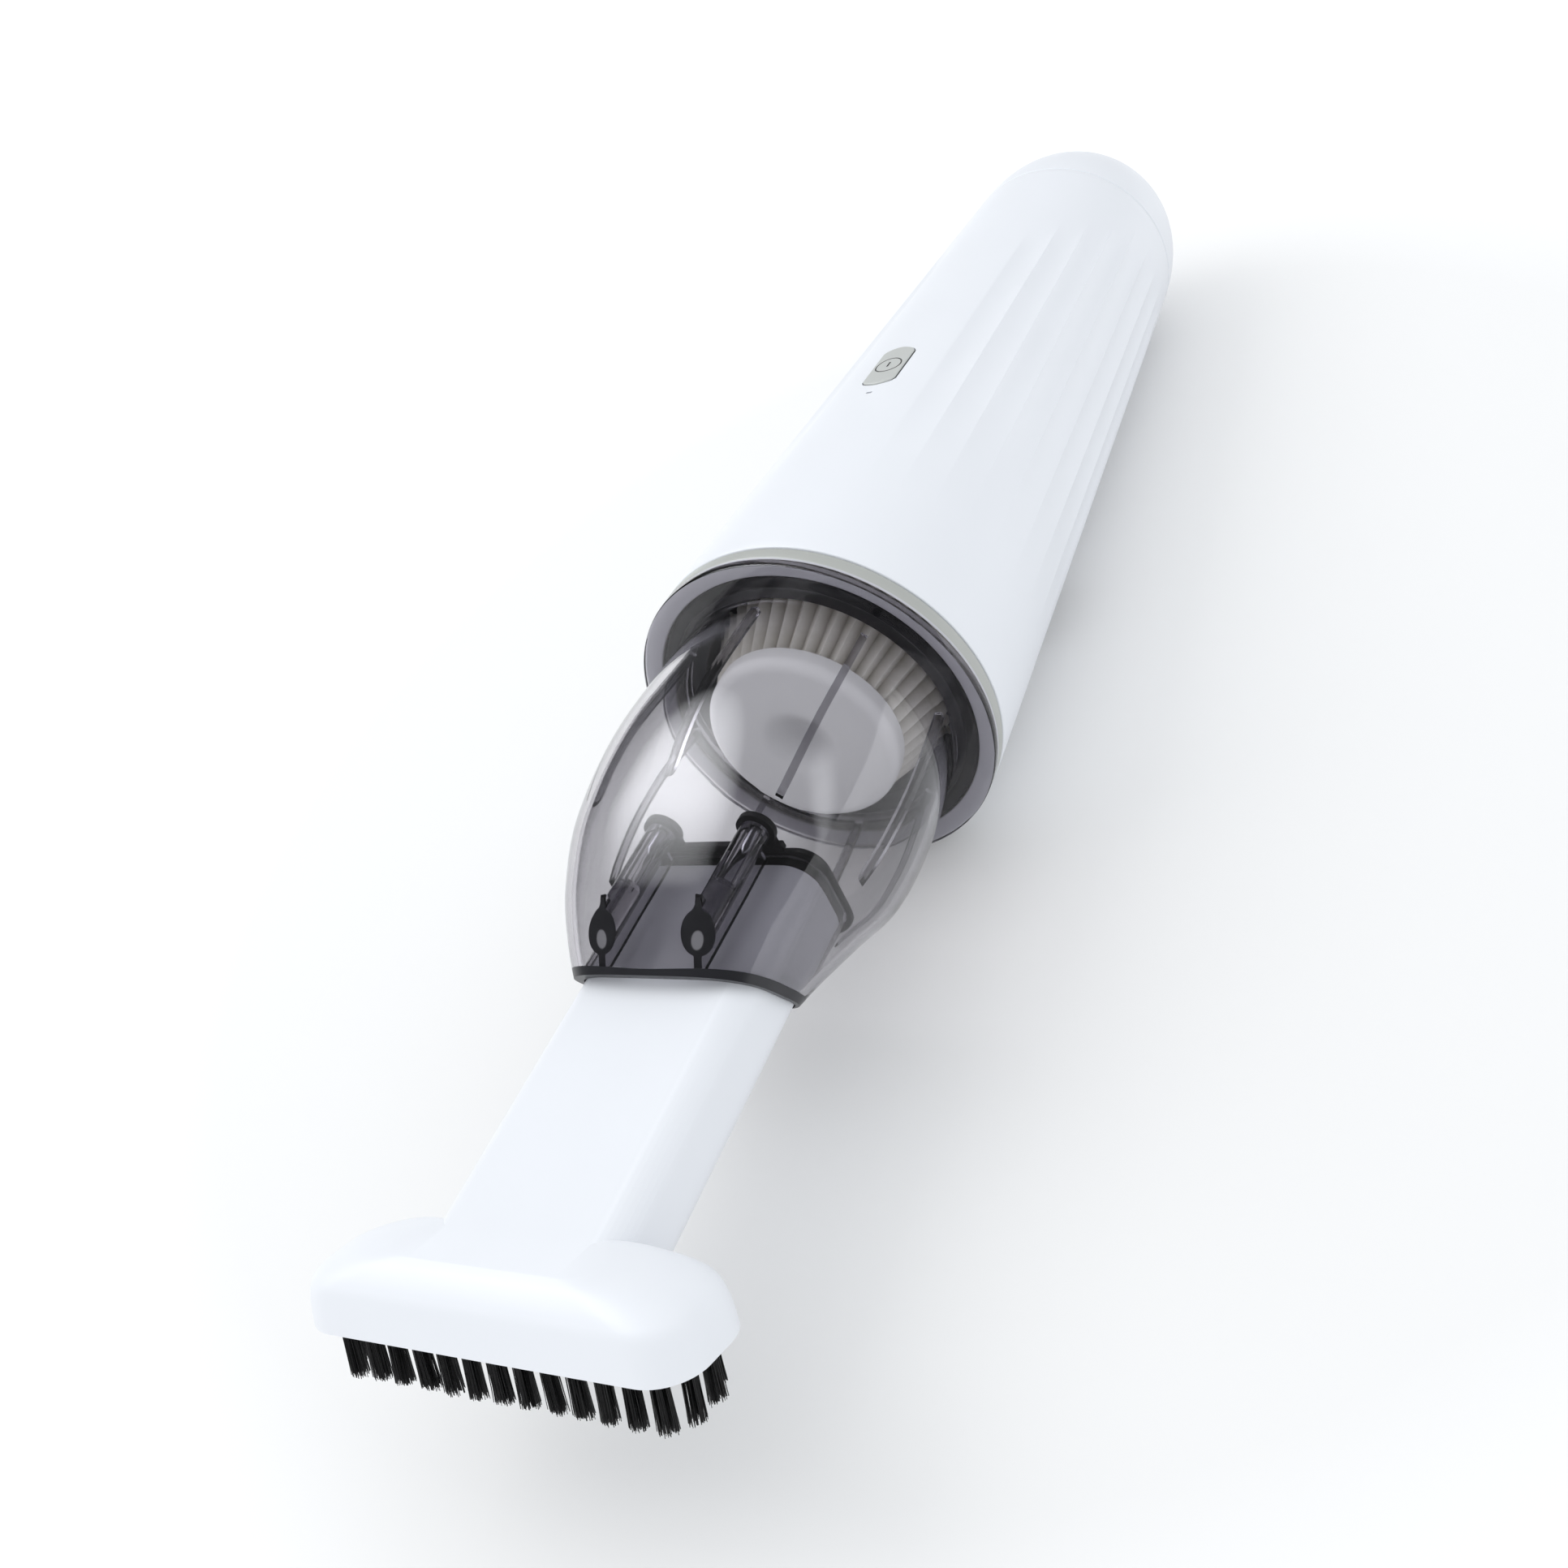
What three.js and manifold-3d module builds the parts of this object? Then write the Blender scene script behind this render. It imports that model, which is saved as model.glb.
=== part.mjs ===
// Handheld vacuum cleaner with a clear dust cup, a pleated cone filter and a push-in dusting brush.
// Millimetres. Each piece is drawn about the vacuum's own axis, which is Y: the tail is at +Y, the
// nozzle at -Y and the power button at +Z, with the origin in the front plane of the cup's flange.
// The whole vacuum is then laid on the table on the underside of its tapered body.
import * as THREE from 'three';
import { mergeVertices } from 'three/addons/utils/BufferGeometryUtils.js';
import Module from 'manifold-3d';

const wasm = await Module();
wasm.setup();

// Clearances shared by the whole vacuum
const gap = 0.3;
const overrun = 1;
const turnedSides = 32;
const smallSides = 12;

// Body: a tapered tube that is also the handle
const bodyRadius = 45.2;
const bodyTaperShare = 0.055;
const bodyWall = 2.2;
const bodyEnd = 220.9;
const plainStripDegrees = 20;
const topStripSteps = 8;
const undersideFacets = 3;
const flutesPerSide = 12;
const fluteSteps = 3;
const fluteDepth = 0.95;
const fluteStart = 34;
const fluteFull = 105;
const fluteEndAtStrip = 178;
const fluteEndAtSide = 208;
const fluteSideDegrees = 65;
const fluteRunOut = 16;
const fluteRiseShares = [0, 0.3, 0.6, 1];
const fluteFallShares = [0.35, 0.7, 1];
const ventCount = 5;
const ventPitch = 5;
const ventWidth = 2.2;
const ventLength = 13;
const ventStart = 79;
const ventDegrees = 146;

// Collar ring between the body and the cup
const flangeThickness = 2.54;
const flangeRadius = bodyRadius - gap;
const collarBack = 6.9;
const collarWall = 5;
const collarBore = bodyRadius - collarWall;
const collarSpigotEnd = 13;

// Tail cap
const tailLength = 38.3;
const tailSpigot = 7;
const tailSpigotWall = 2;
const tailRoundnessPower = 2.3;
const tailSteps = 5;

// Power button, status light and the switch under the button
const buttonPlace = 94.5;
const buttonHalfWidth = 4.65;
const buttonStraightHalf = 7.2;
const buttonHalfLength = 10;
const buttonProud = 0.4;
const buttonLip = 1.4;
const buttonLipThickness = 1.1;
const buttonLipClearance = 0.9;
const buttonStem = 3;
const buttonTravel = 1;
const lightPlace = 79.5;
const lightWidth = 1.9;
const lightSlot = 0.8;
const switchSize = 6;
const switchHeight = 3.4;
const plungerRadius = 1.6;
const plungerHeight = 1.6;

// Circuit board on the flat tops of the battery plates
const boardDepth = 21.2;
const boardBottom = bodyRadius - boardDepth;
const boardThickness = 1.6;
const boardHalfWidth = 12;
const boardStart = 75;

// Battery
const cellRadius = 9.2;
const cellLength = 65;
const batteryStart = 104;
const plateThickness = 3;
const cellClearance = 0.5;
const cellSpread = cellRadius + cellClearance;
const cellHeadroom = 17.2;
const lowerCellDrop = (bodyRadius - cellHeadroom) / 2;
const cellRowRise = 16.8;
const upperCellRise = cellRowRise - lowerCellDrop;
const wireHole = 3;
const wireHoleRise = 8;

// Motor, fan and the bulkhead that carries them
const bulkheadFront = 17.1;
const bulkheadThickness = 3;
const bulkheadHole = 18;
const fanHousingInset = 14.2;
const fanHousingRadius = bodyRadius - fanHousingInset;
const fanHousingWall = 1.8;
const fanHousingDepth = 16.6;
const fanHousingPlate = 2;
const fanVentCount = 6;
const fanVentRadius = 4.2;
const fanVentInset = 10;
const fanVentCircle = fanHousingRadius - fanVentInset;
const impellerClearance = 3.2;
const impellerRadius = fanHousingRadius - fanHousingWall - impellerClearance;
const impellerFront = 23.4;
const impellerDepth = 7;
const impellerPlate = 1.4;
const impellerHub = 5;
const bladeCount = 9;
const bladeThickness = 1.2;
const bladeInner = 8;
const bladeLeanDegrees = 32;
const shaftRadius = 1.5;
const shaftClearance = 0.9;
const shaftEnd = 47;
const motorClearance = 6;
const motorRadius = boardBottom - motorClearance;
const motorLength = 39.5;
const motorScrewCircle = 8;
const motorScrewHead = 2.8;
const motorScrewHeadHeight = 1.8;
const motorScrewEnd = 42;
const mountFront = 56;
const mountThickness = 4;
const mountRing = 3.2;
const mountArm = 8;

// Charging socket at the tip of the tail
const socketWidth = 9;
const socketHeight = 3.2;
const socketDepth = 8;
const socketShell = 0.35;
const socketTongueWidth = 6.4;
const socketTongueThickness = 0.7;
const socketWall = 1.4;
const socketCornerShare = 0.45;

// Pleated filter
const filterFlangeRadius = collarBore - gap;
const filterFlangeWidth = 8.9;
const filterSleeveBore = filterFlangeRadius - filterFlangeWidth;
const filterLipWidth = 7;
const filterLipBore = filterSleeveBore - filterLipWidth;
const pleatSeat = 0.8;
const pleatLargeRadius = filterSleeveBore - pleatSeat;
const pleatFlare = 5.8;
const pleatSmallRadius = pleatLargeRadius - pleatFlare;
const pleatDepth = 2.6;
const pleatPaper = 2.8;
const pleatBore = pleatSmallRadius - pleatDepth - pleatPaper;
const filterFront = -10;
const filterCapStep = 0.4;
const filterCapRadius = pleatSmallRadius - filterCapStep;
const filterCapDepth = 5.7;
const filterCapEdge = 3;
const dimpleRadius = 9.5;
const dimpleDepth = 3.6;
const dimpleFloor = 3.2;
const pleatCount = 42;
const pleatEnd = 12;
const filterFlangeFront = 5.7;
const filterFlangeThickness = 2.5;
const filterSleeveWall = 2;
const filterEnd = 14.8;
const filterSealThickness = 1.7;

// Dust cup
const cupRootInset = 4.4;
const cupRootRadius = collarBore - cupRootInset;
const cupWall = 2;
const cupSeamPlace = -2;
const mouthTopLip = 4;
const mouthBottomLip = 2;
const mouthSideLip = 1.9;
const mouthTiltDegrees = 29;
const mouthAtTubeTop = -86.9;
const cupSectionPower = 1.7;
const cupSectionGrowth = 2.5;
const cupRings = 9;
const cupStationShares = [0, 0.3, 0.55, 0.75, 0.9, 1];
const cupSideShares = [0, -0.186, -0.04, 0.343, 0.734, 1];
const cupTopShares = [0, -0.023, 0.17, 0.49, 0.785, 1];
const cupBottomShares = [0, -0.032, 0.153, 0.608, 0.877, 1];
const ribCount = 8;
const ribThickness = 1;
const ribHeight = 1.5;
const ribStart = -3;
const ribEnd = -56;
const ductWall = 1.4;
const ductClearance = 0.4;
const ductEnd = -52;
const bossSpread = 12;
const bossHeight = 11.4;
const bossRadius = 3.3;
const bossBore = 1.5;
const bossBoreDepth = 16;
const webThickness = 1.6;
const webUpperEnd = -72;
const sealClearance = 1.1;
const sealInner = cupRootRadius + sealClearance;
const sealThickness = 2.6;

// Flap valve on the inner end of the duct
const flapThickness = 1.5;
const flapMargin = 2;
const hingeStrip = 3.4;
const earRadius = 4.4;
const flapScrewHead = 2.7;
const flapScrewHeadHeight = 1.6;
const flapScrewShank = 1.1;
const flapScrewLength = 9;

// Nozzle: a flat tube that ends in a brush head
const tubeInset = 13.8;
const tubeHalfWidth = cupRootRadius - tubeInset;
const tubeHalfDepth = 10.2;
const tubeCorner = 6;
const tubeDrop = 7.4;
const tubeWall = 1.8;
const tubeInnerEnd = -54;
const tubeOuterEnd = -156;
const headPlace = -160.3;
const headDrop = 9;
const headTiltDegrees = 65.1;
const headHalfWidth = bodyRadius;
const headHalfDepth = 13.1;
const headCorner = 9.6;
const headHeight = 15;
const headWall = 2;
const headCornerShare = 0.92;
const headHeightShares = [0, 0.3, 0.56, 0.7, 0.83, 0.93, 1];
const headSideShares = [1, 0.99, 0.965, 0.91, 0.81, 0.69, 0.53];
const headDepthShares = [1, 0.99, 0.96, 0.89, 0.78, 0.66, 0.5];
const tubeFootClearance = 0.6;

// Bristles: tufts set in four strips around the underside of the head
const stripWidth = 5;
const stripDepth = 2.6;
const stripSetback = 0.5;
const stripClearance = 0.9;
const tuftCount = 30;
const tuftsBesideMiddle = 5;
const tuftRadius = 1.85;
const strandsPerTuft = 10;
const strandsInInnerRing = 3;
const innerRingShare = 0.4;
const strandRadius = 0.33;
const strandLength = 11.8;
const strandLengthSpread = 0.7;
const strandSplayShare = 0.05;

// Finishes
const white = { color: 0xeef0f4, roughness: 0.3, metalness: 0 };
const sage = { color: 0xc4c8be, roughness: 0.45, metalness: 0 };
const smoke = { color: 0x55545a, roughness: 0.08, metalness: 0, transparent: true, opacity: 0.45 };
const black = { color: 0x101012, roughness: 0.6, metalness: 0 };
const bristle = { color: 0x0b0b0c, roughness: 0.5, metalness: 0 };
const filterGrey = { color: 0xc3c3c7, roughness: 0.5, metalness: 0 };
const paper = { color: 0xdcd8ce, roughness: 0.95, metalness: 0 };
const inner = { color: 0x3a3c40, roughness: 0.6, metalness: 0 };
const steel = { color: 0xb8bbc0, roughness: 0.3, metalness: 1 };
const alloy = { color: 0xa9adb2, roughness: 0.45, metalness: 1 };
const cellBlue = { color: 0x3b6ea8, roughness: 0.4, metalness: 0 };
const board = { color: 0x1f5a3c, roughness: 0.5, metalness: 0 };
const lightGuide = { color: 0xe8f0ea, roughness: 0.2, metalness: 0 };

const radians = THREE.MathUtils.degToRad;
const bodyRadiusAt = (y) => bodyRadius - bodyTaperShare * y;
const bodyBoreAt = (y) => bodyRadiusAt(y) - bodyWall;

// A closed solid from a geometry: corners merged, slivers dropped, faces turned outwards
function solid(geometry) {
  const bare = new THREE.BufferGeometry();
  bare.setAttribute('position', geometry.getAttribute('position'));
  if (geometry.index) bare.setIndex(geometry.index);
  const merged = mergeVertices(bare);
  const places = merged.getAttribute('position');
  const corners = [];
  const [a, b, c] = [new THREE.Vector3(), new THREE.Vector3(), new THREE.Vector3()];
  let volume = 0;
  for (let i = 0; i < merged.index.count; i += 3) {
    const triangle = [merged.index.getX(i), merged.index.getX(i + 1), merged.index.getX(i + 2)];
    if (new Set(triangle).size < 3) continue;
    corners.push(triangle);
    a.fromBufferAttribute(places, triangle[0]);
    b.fromBufferAttribute(places, triangle[1]);
    c.fromBufferAttribute(places, triangle[2]);
    volume += a.dot(b.cross(c));
  }
  if (volume < 0) corners.forEach((triangle) => triangle.reverse());
  const triVerts = Uint32Array.from(corners.flat());
  return new wasm.Manifold(new wasm.Mesh({ numProp: 3, vertProperties: places.array, triVerts }));
}

const joined = (...solids) => solids.flat().reduce((whole, piece) => whole.add(piece));
const cut = (whole, ...tools) => tools.flat().reduce((rest, tool) => rest.subtract(tool), whole);

function block(sizeX, sizeY, sizeZ, x, y, z) {
  return new THREE.BoxGeometry(sizeX, sizeY, sizeZ).translate(x, y, z);
}

// A turned piece about Y; each radius is measured to the flats, with a flat at the top and bottom
function turned(profile, sides = turnedSides) {
  const half = Math.PI / sides;
  const points = profile.map(([radius, y]) => new THREE.Vector2(radius / Math.cos(half), y));
  return new THREE.LatheGeometry(points, sides, half);
}

function disc(radius, from, to, sides) {
  return turned([[0, from], [radius, from], [radius, to], [0, to]], sides);
}

function ring(outer, bore, from, to, sides) {
  return turned([[bore, from], [outer, from], [outer, to], [bore, to], [bore, from]], sides);
}

// A rounded rectangle, drawn from the middle of its lower side
function roundedRect(halfWidth, halfHeight, corner) {
  const shape = new THREE.Shape();
  shape.moveTo(0, -halfHeight);
  shape.lineTo(halfWidth - corner, -halfHeight);
  shape.absarc(halfWidth - corner, corner - halfHeight, corner, -Math.PI / 2, 0);
  shape.absarc(halfWidth - corner, halfHeight - corner, corner, 0, Math.PI / 2);
  shape.absarc(corner - halfWidth, halfHeight - corner, corner, Math.PI / 2, Math.PI);
  shape.absarc(corner - halfWidth, corner - halfHeight, corner, Math.PI, Math.PI * 1.5);
  shape.lineTo(0, -halfHeight);
  return shape;
}

// A shape drawn in X and Z, extruded along Y
function bar(shape, from, to, curveSegments = 3) {
  const depth = to - from;
  const geometry = new THREE.ExtrudeGeometry(shape, { depth, bevelEnabled: false, curveSegments });
  return geometry.rotateX(Math.PI / 2).translate(0, to, 0);
}

// A skin through rings of equal count, closed at both ends
function loft(rings) {
  const count = rings[0].length;
  const positions = rings.flat();
  const index = [];
  for (let r = 0; r + 1 < rings.length; r += 1) {
    for (let k = 0; k < count; k += 1) {
      const next = (k + 1) % count;
      const [p, q] = [r * count + k, r * count + next];
      index.push(p, q, p + count, q, q + count, p + count);
    }
  }
  for (const [r, turn] of [[0, false], [rings.length - 1, true]]) {
    if (count === 3) {
      const triangle = [r * count, r * count + 1, r * count + 2];
      index.push(...(turn ? triangle : triangle.reverse()));
      continue;
    }
    const centre = new THREE.Vector3();
    rings[r].forEach((point) => centre.addScaledVector(point, 1 / count));
    positions.push(centre);
    const hub = positions.length - 1;
    for (let k = 0; k < count; k += 1) {
      const pair = [r * count + k, r * count + (k + 1) % count];
      if (!turn) pair.reverse();
      index.push(hub, ...pair);
    }
  }
  const geometry = new THREE.BufferGeometry().setFromPoints(positions);
  geometry.setIndex(index);
  return geometry;
}

const vacuum = new THREE.Group();

function piece(name, shape, finish) {
  const { vertProperties, triVerts } = shape.getMesh();
  const geometry = new THREE.BufferGeometry();
  geometry.setAttribute('position', new THREE.BufferAttribute(vertProperties, 3));
  geometry.setIndex(new THREE.BufferAttribute(triVerts, 1));
  const mesh = new THREE.Mesh(geometry, new THREE.MeshStandardMaterial(finish));
  mesh.name = name;
  vacuum.add(mesh);
  return mesh;
}

// Body shell: fluted outside, plain bore, a button window, a light slot and exhaust slots underneath
function bodyShell() {
  const start = collarBack + gap;
  const angles = [];
  const shares = [];
  const strip = plainStripDegrees;
  const fluted = 180 - 2 * strip;
  const sideSteps = flutesPerSide * fluteSteps;
  const step = (degrees, share) => {
    angles.push(degrees);
    shares.push(share);
  };
  for (let k = 0; k < topStripSteps; k += 1) step(strip * ((2 * k) / topStripSteps - 1), 0);
  for (const direction of [1, -1]) {
    const base = direction > 0 ? strip : 180 + strip;
    for (let k = 0; k < sideSteps; k += 1) {
      const across = (k % fluteSteps) / fluteSteps;
      step(base + (fluted * k) / sideSteps, 1 - (2 * across - 1) ** 2);
    }
    if (direction < 0) continue;
    for (let k = 0; k < undersideFacets; k += 1) step(180 - strip + (2 * strip * k) / undersideFacets, 0);
  }
  const fade = THREE.MathUtils.smoothstep;
  const fluteEndAt = (degrees) => {
    const away = Math.min(Math.abs(degrees), Math.abs(360 - degrees));
    const share = (Math.min(away, fluteSideDegrees) - strip) / (fluteSideDegrees - strip);
    return THREE.MathUtils.lerp(fluteEndAtStrip, fluteEndAtSide, share);
  };
  const rises = fluteRiseShares.map((share) => THREE.MathUtils.lerp(fluteStart, fluteFull, share));
  const falls = fluteFallShares.map((share) => THREE.MathUtils.lerp(fluteEndAtStrip, fluteEndAtSide, share));
  const stations = [start, ...rises, fluteEndAtStrip - fluteRunOut, fluteEndAtStrip, ...falls, bodyEnd];
  const flat = Math.cos(radians(strip / undersideFacets));
  const rings = stations.map((y) => angles.map((degrees, k) => {
    const rise = fade(y, fluteStart, fluteFull);
    const fall = 1 - fade(y, fluteEndAt(degrees) - fluteRunOut, fluteEndAt(degrees));
    const facing = Math.abs(degrees - 180) < strip / 2 ? flat : 1;
    const radius = bodyRadiusAt(y) / facing - fluteDepth * shares[k] * rise * fall;
    const turn = radians(degrees);
    return new THREE.Vector3(radius * Math.sin(turn), y, radius * Math.cos(turn));
  }));
  const bore = turned([[0, start - overrun], [bodyBoreAt(start - overrun), start - overrun],
    [bodyBoreAt(bodyEnd + overrun), bodyEnd + overrun], [0, bodyEnd + overrun]]);
  const vents = [];
  for (const side of [-1, 1]) {
    for (let k = 0; k < ventCount; k += 1) {
      const y = ventStart + k * ventPitch;
      const vent = block(ventLength, ventWidth, 4 * bodyWall, 0, y, bodyRadiusAt(y));
      vents.push(solid(vent.rotateY(radians(side * ventDegrees))));
    }
  }
  const top = bodyRadiusAt(lightPlace);
  const slot = block(lightWidth + gap, lightSlot + gap, 4 * bodyWall, 0, lightPlace, top);
  const window = buttonSolid(gap, -overrun, 4 * bodyWall);
  return cut(solid(loft(rings)), solid(bore), solid(slot), window, vents);
}

// The button's outline, grown by a margin and swept between two depths below the body's sloping top
function buttonSolid(margin, from, to) {
  const shape = new THREE.Shape();
  const straight = buttonStraightHalf;
  const halfWidth = buttonHalfWidth + margin;
  const halfLength = buttonHalfLength + margin;
  const swell = 2 * halfLength - straight;
  shape.moveTo(halfWidth, -straight);
  shape.lineTo(halfWidth, straight);
  shape.quadraticCurveTo(0, swell, -halfWidth, straight);
  shape.lineTo(-halfWidth, -straight);
  shape.quadraticCurveTo(0, -swell, halfWidth, -straight);
  const depth = to - from;
  const geometry = new THREE.ExtrudeGeometry(shape, { depth, bevelEnabled: false, curveSegments: 8 });
  geometry.translate(0, 0, -to).rotateX(-Math.atan(bodyTaperShare));
  return solid(geometry.translate(0, buttonPlace, bodyRadiusAt(buttonPlace)));
}

function powerButton() {
  const lipTop = bodyWall + buttonLipClearance;
  const cap = buttonSolid(0, -buttonProud, lipTop + buttonLipThickness / 2);
  const lip = buttonSolid(buttonLip, lipTop, lipTop + buttonLipThickness);
  const plungerTop = boardBottom + boardThickness + gap + switchHeight + plungerHeight;
  const stemBottom = plungerTop + buttonTravel + gap;
  const stemTop = bodyRadiusAt(buttonPlace) - bodyWall;
  const height = stemTop - stemBottom;
  const stem = block(buttonStem, buttonStem, height, 0, buttonPlace, stemBottom + height / 2);
  return joined(cap, lip, solid(stem));
}

function tactSwitch() {
  const bottom = boardBottom + boardThickness + gap;
  const body = block(switchSize, switchSize, switchHeight, 0, buttonPlace, bottom + switchHeight / 2);
  const height = plungerHeight + gap;
  const plunger = new THREE.CylinderGeometry(plungerRadius, plungerRadius, height, smallSides);
  plunger.rotateX(Math.PI / 2).translate(0, buttonPlace, bottom + switchHeight + plungerHeight - height / 2);
  return joined(solid(body), solid(plunger));
}

function lightPipe() {
  const bottom = boardBottom + boardThickness + gap;
  const top = bodyRadiusAt(lightPlace + lightSlot) - gap / 3;
  return solid(block(lightWidth, lightSlot, top - bottom, 0, lightPlace, (top + bottom) / 2));
}

function collarRing() {
  const front = flangeThickness + gap;
  const spigot = bodyBoreAt(collarSpigotEnd) - gap;
  return solid(turned([[collarBore, front], [bodyRadiusAt(front) - gap / 2, front],
    [bodyRadiusAt(collarBack) - gap / 2, collarBack], [spigot, collarBack], [spigot, collarSpigotEnd],
    [collarBore, collarSpigotEnd], [collarBore, front]]));
}

// Tail cap: a rounded dome with a spigot into the body and a walled socket bay at its tip
function tailCap() {
  const front = bodyEnd + gap;
  const radius = bodyRadiusAt(front);
  const dome = (reach, length) => {
    const points = [];
    for (let k = 0; k <= tailSteps; k += 1) {
      const t = Math.sin((Math.PI / 2) * (k / tailSteps));
      const share = Math.max(0, 1 - t ** tailRoundnessPower) ** (1 / tailRoundnessPower);
      points.push([reach * share, front + length * t]);
    }
    return points;
  };
  const outer = turned([[0, front], ...dome(radius, tailLength)]);
  const hollow = turned([[0, front - overrun], [radius - bodyWall, front - overrun],
    ...dome(radius - bodyWall, tailLength - bodyWall)]);
  const spigotRadius = bodyBoreAt(bodyEnd) - gap;
  const spigotBore = spigotRadius - tailSpigotWall;
  const spigot = ring(spigotRadius, spigotBore, bodyEnd - tailSpigot, front + bodyWall);
  const shoulder = ring(radius - bodyWall / 2, spigotBore, front, front + bodyWall);
  const tip = front + tailLength;
  const bayDepth = socketDepth + 2 * gap;
  const bayWidth = socketWidth + 2 * gap;
  const bayHeight = socketHeight + 2 * gap;
  const [wide, high] = [bayWidth + 2 * socketWall, bayHeight + 2 * socketWall];
  const bay = block(wide, bayDepth, high, 0, tip - bayDepth / 2, 0);
  const hole = block(bayWidth, 2 * bayDepth, bayHeight, 0, tip - bayDepth / 2, 0);
  const shell = cut(solid(outer), solid(hollow));
  const filled = joined(shell, solid(bay).intersect(solid(outer)), solid(shoulder), solid(spigot));
  return cut(filled, solid(hole));
}

function chargingSocket() {
  const mouth = bodyEnd + gap + tailLength - 2 * gap;
  const back = mouth - socketDepth;
  const outline = (inset) => {
    const height = socketHeight - 2 * inset;
    return roundedRect(socketWidth / 2 - inset, height / 2, height * socketCornerShare);
  };
  const shell = solid(bar(outline(0), back, mouth));
  const hollow = solid(bar(outline(socketShell), back + socketShell, mouth + overrun));
  const length = socketDepth - gap;
  const tongue = block(socketTongueWidth, length, socketTongueThickness, 0, back + length / 2, 0);
  return joined(cut(shell, hollow), solid(tongue));
}

function bulkhead() {
  const back = bulkheadFront + bulkheadThickness;
  return solid(ring(bodyBoreAt(back) - gap, bulkheadHole, bulkheadFront, back));
}

// Fan housing: a cup behind the bulkhead whose floor carries the motor on two screws
const fanFront = bulkheadFront + bulkheadThickness + gap;
const fanBack = fanFront + fanHousingDepth;

function fanHousing() {
  const outer = disc(fanHousingRadius, fanFront, fanBack);
  const hollow = disc(fanHousingRadius - fanHousingWall, fanFront - overrun, fanBack - fanHousingPlate);
  const shaftHole = disc(shaftRadius + shaftClearance, fanFront, fanBack + overrun, smallSides);
  const vents = [];
  for (let k = 0; k < fanVentCount; k += 1) {
    const vent = disc(fanVentRadius, fanFront, fanBack + overrun, smallSides);
    vents.push(solid(vent.translate(0, 0, fanVentCircle).rotateY((2 * Math.PI * (k + 0.5)) / fanVentCount)));
  }
  const screws = [-1, 1].map((side) => {
    const hole = disc(shaftRadius + gap, fanFront, fanBack + overrun, smallSides);
    return solid(hole.translate(side * motorScrewCircle, 0, 0));
  });
  return cut(solid(outer), solid(hollow), solid(shaftHole), vents, screws);
}

function impeller() {
  const back = impellerFront + impellerDepth;
  const plate = disc(impellerRadius, back - impellerPlate, back);
  const hub = disc(impellerHub, impellerFront, back, 2 * smallSides);
  const reach = impellerRadius - bladeInner;
  const blades = [];
  for (let k = 0; k < bladeCount; k += 1) {
    const blade = block(bladeThickness, impellerDepth, reach, 0, (impellerFront + back) / 2, 0);
    blade.rotateY(radians(bladeLeanDegrees)).translate(0, 0, bladeInner + reach / 2);
    blades.push(solid(blade.rotateY((2 * Math.PI * k) / bladeCount)));
  }
  const envelope = solid(disc(impellerRadius, impellerFront, back));
  const bore = disc(shaftRadius + gap, impellerFront - overrun, back + overrun, smallSides);
  return cut(joined(solid(plate), solid(hub), blades).intersect(envelope), solid(bore));
}

function motorShaft() {
  return solid(disc(shaftRadius, impellerFront - gap, shaftEnd, smallSides));
}

function motorCan() {
  const front = fanBack + gap;
  const can = disc(motorRadius, front, front + motorLength);
  const shaftHole = disc(shaftRadius + gap, front - overrun, shaftEnd + gap, smallSides);
  const screws = [-1, 1].map((side) => {
    const hole = disc(shaftRadius + gap, front - overrun, motorScrewEnd + gap, smallSides);
    return solid(hole.translate(side * motorScrewCircle, 0, 0));
  });
  return cut(solid(can), solid(shaftHole), screws);
}

function motorScrew(side) {
  const head = fanBack - fanHousingPlate - gap;
  const top = head - motorScrewHeadHeight;
  const screw = turned([[0, top], [motorScrewHead, top], [motorScrewHead, head], [shaftRadius, head],
    [shaftRadius, motorScrewEnd], [0, motorScrewEnd]], smallSides);
  return solid(screw.translate(side * motorScrewCircle, 0, 0));
}

function motorMount() {
  const back = mountFront + mountThickness;
  const bore = motorRadius + gap;
  const rim = ring(bore + mountRing, bore, mountFront, back);
  const reach = bodyBoreAt(back) - gap;
  const arms = [0, 1].map((k) => {
    const arm = block(mountArm, mountThickness, 2 * reach, 0, (mountFront + back) / 2, 0);
    return solid(arm.rotateY((Math.PI / 2) * (k + 0.5)));
  });
  const envelope = solid(disc(reach, mountFront, back));
  const hole = disc(bore, mountFront - overrun, back + overrun);
  return cut(joined(solid(rim), arms).intersect(envelope), solid(hole));
}

// Battery: three cells between two plates whose flat tops carry the circuit board
const cellFront = batteryStart + plateThickness + gap;
const cellPlaces = {
  left: [-cellSpread, -lowerCellDrop],
  right: [cellSpread, -lowerCellDrop],
  top: [0, upperCellRise],
};

function batteryCell([x, z]) {
  return solid(disc(cellRadius, cellFront, cellFront + cellLength, 2 * smallSides).translate(x, 0, z));
}

function batteryPlate(front) {
  const back = front + plateThickness;
  const radius = bodyBoreAt(back) - gap;
  const plate = disc(radius, front, back);
  const top = boardBottom - gap;
  const trim = block(3 * radius, 3 * plateThickness, radius, 0, front, top + radius / 2);
  const holes = [-1, 1].map((side) => {
    const hole = disc(wireHole, front - overrun, back + overrun, smallSides);
    return solid(hole.translate(side * (radius - 3 * wireHole), 0, wireHoleRise));
  });
  return cut(solid(plate), solid(trim), holes);
}

function circuitBoard() {
  const end = cellFront + cellLength + gap + plateThickness;
  const length = end - boardStart;
  return solid(block(2 * boardHalfWidth, length, boardThickness, 0, boardStart + length / 2,
    boardBottom + boardThickness / 2));
}

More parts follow.
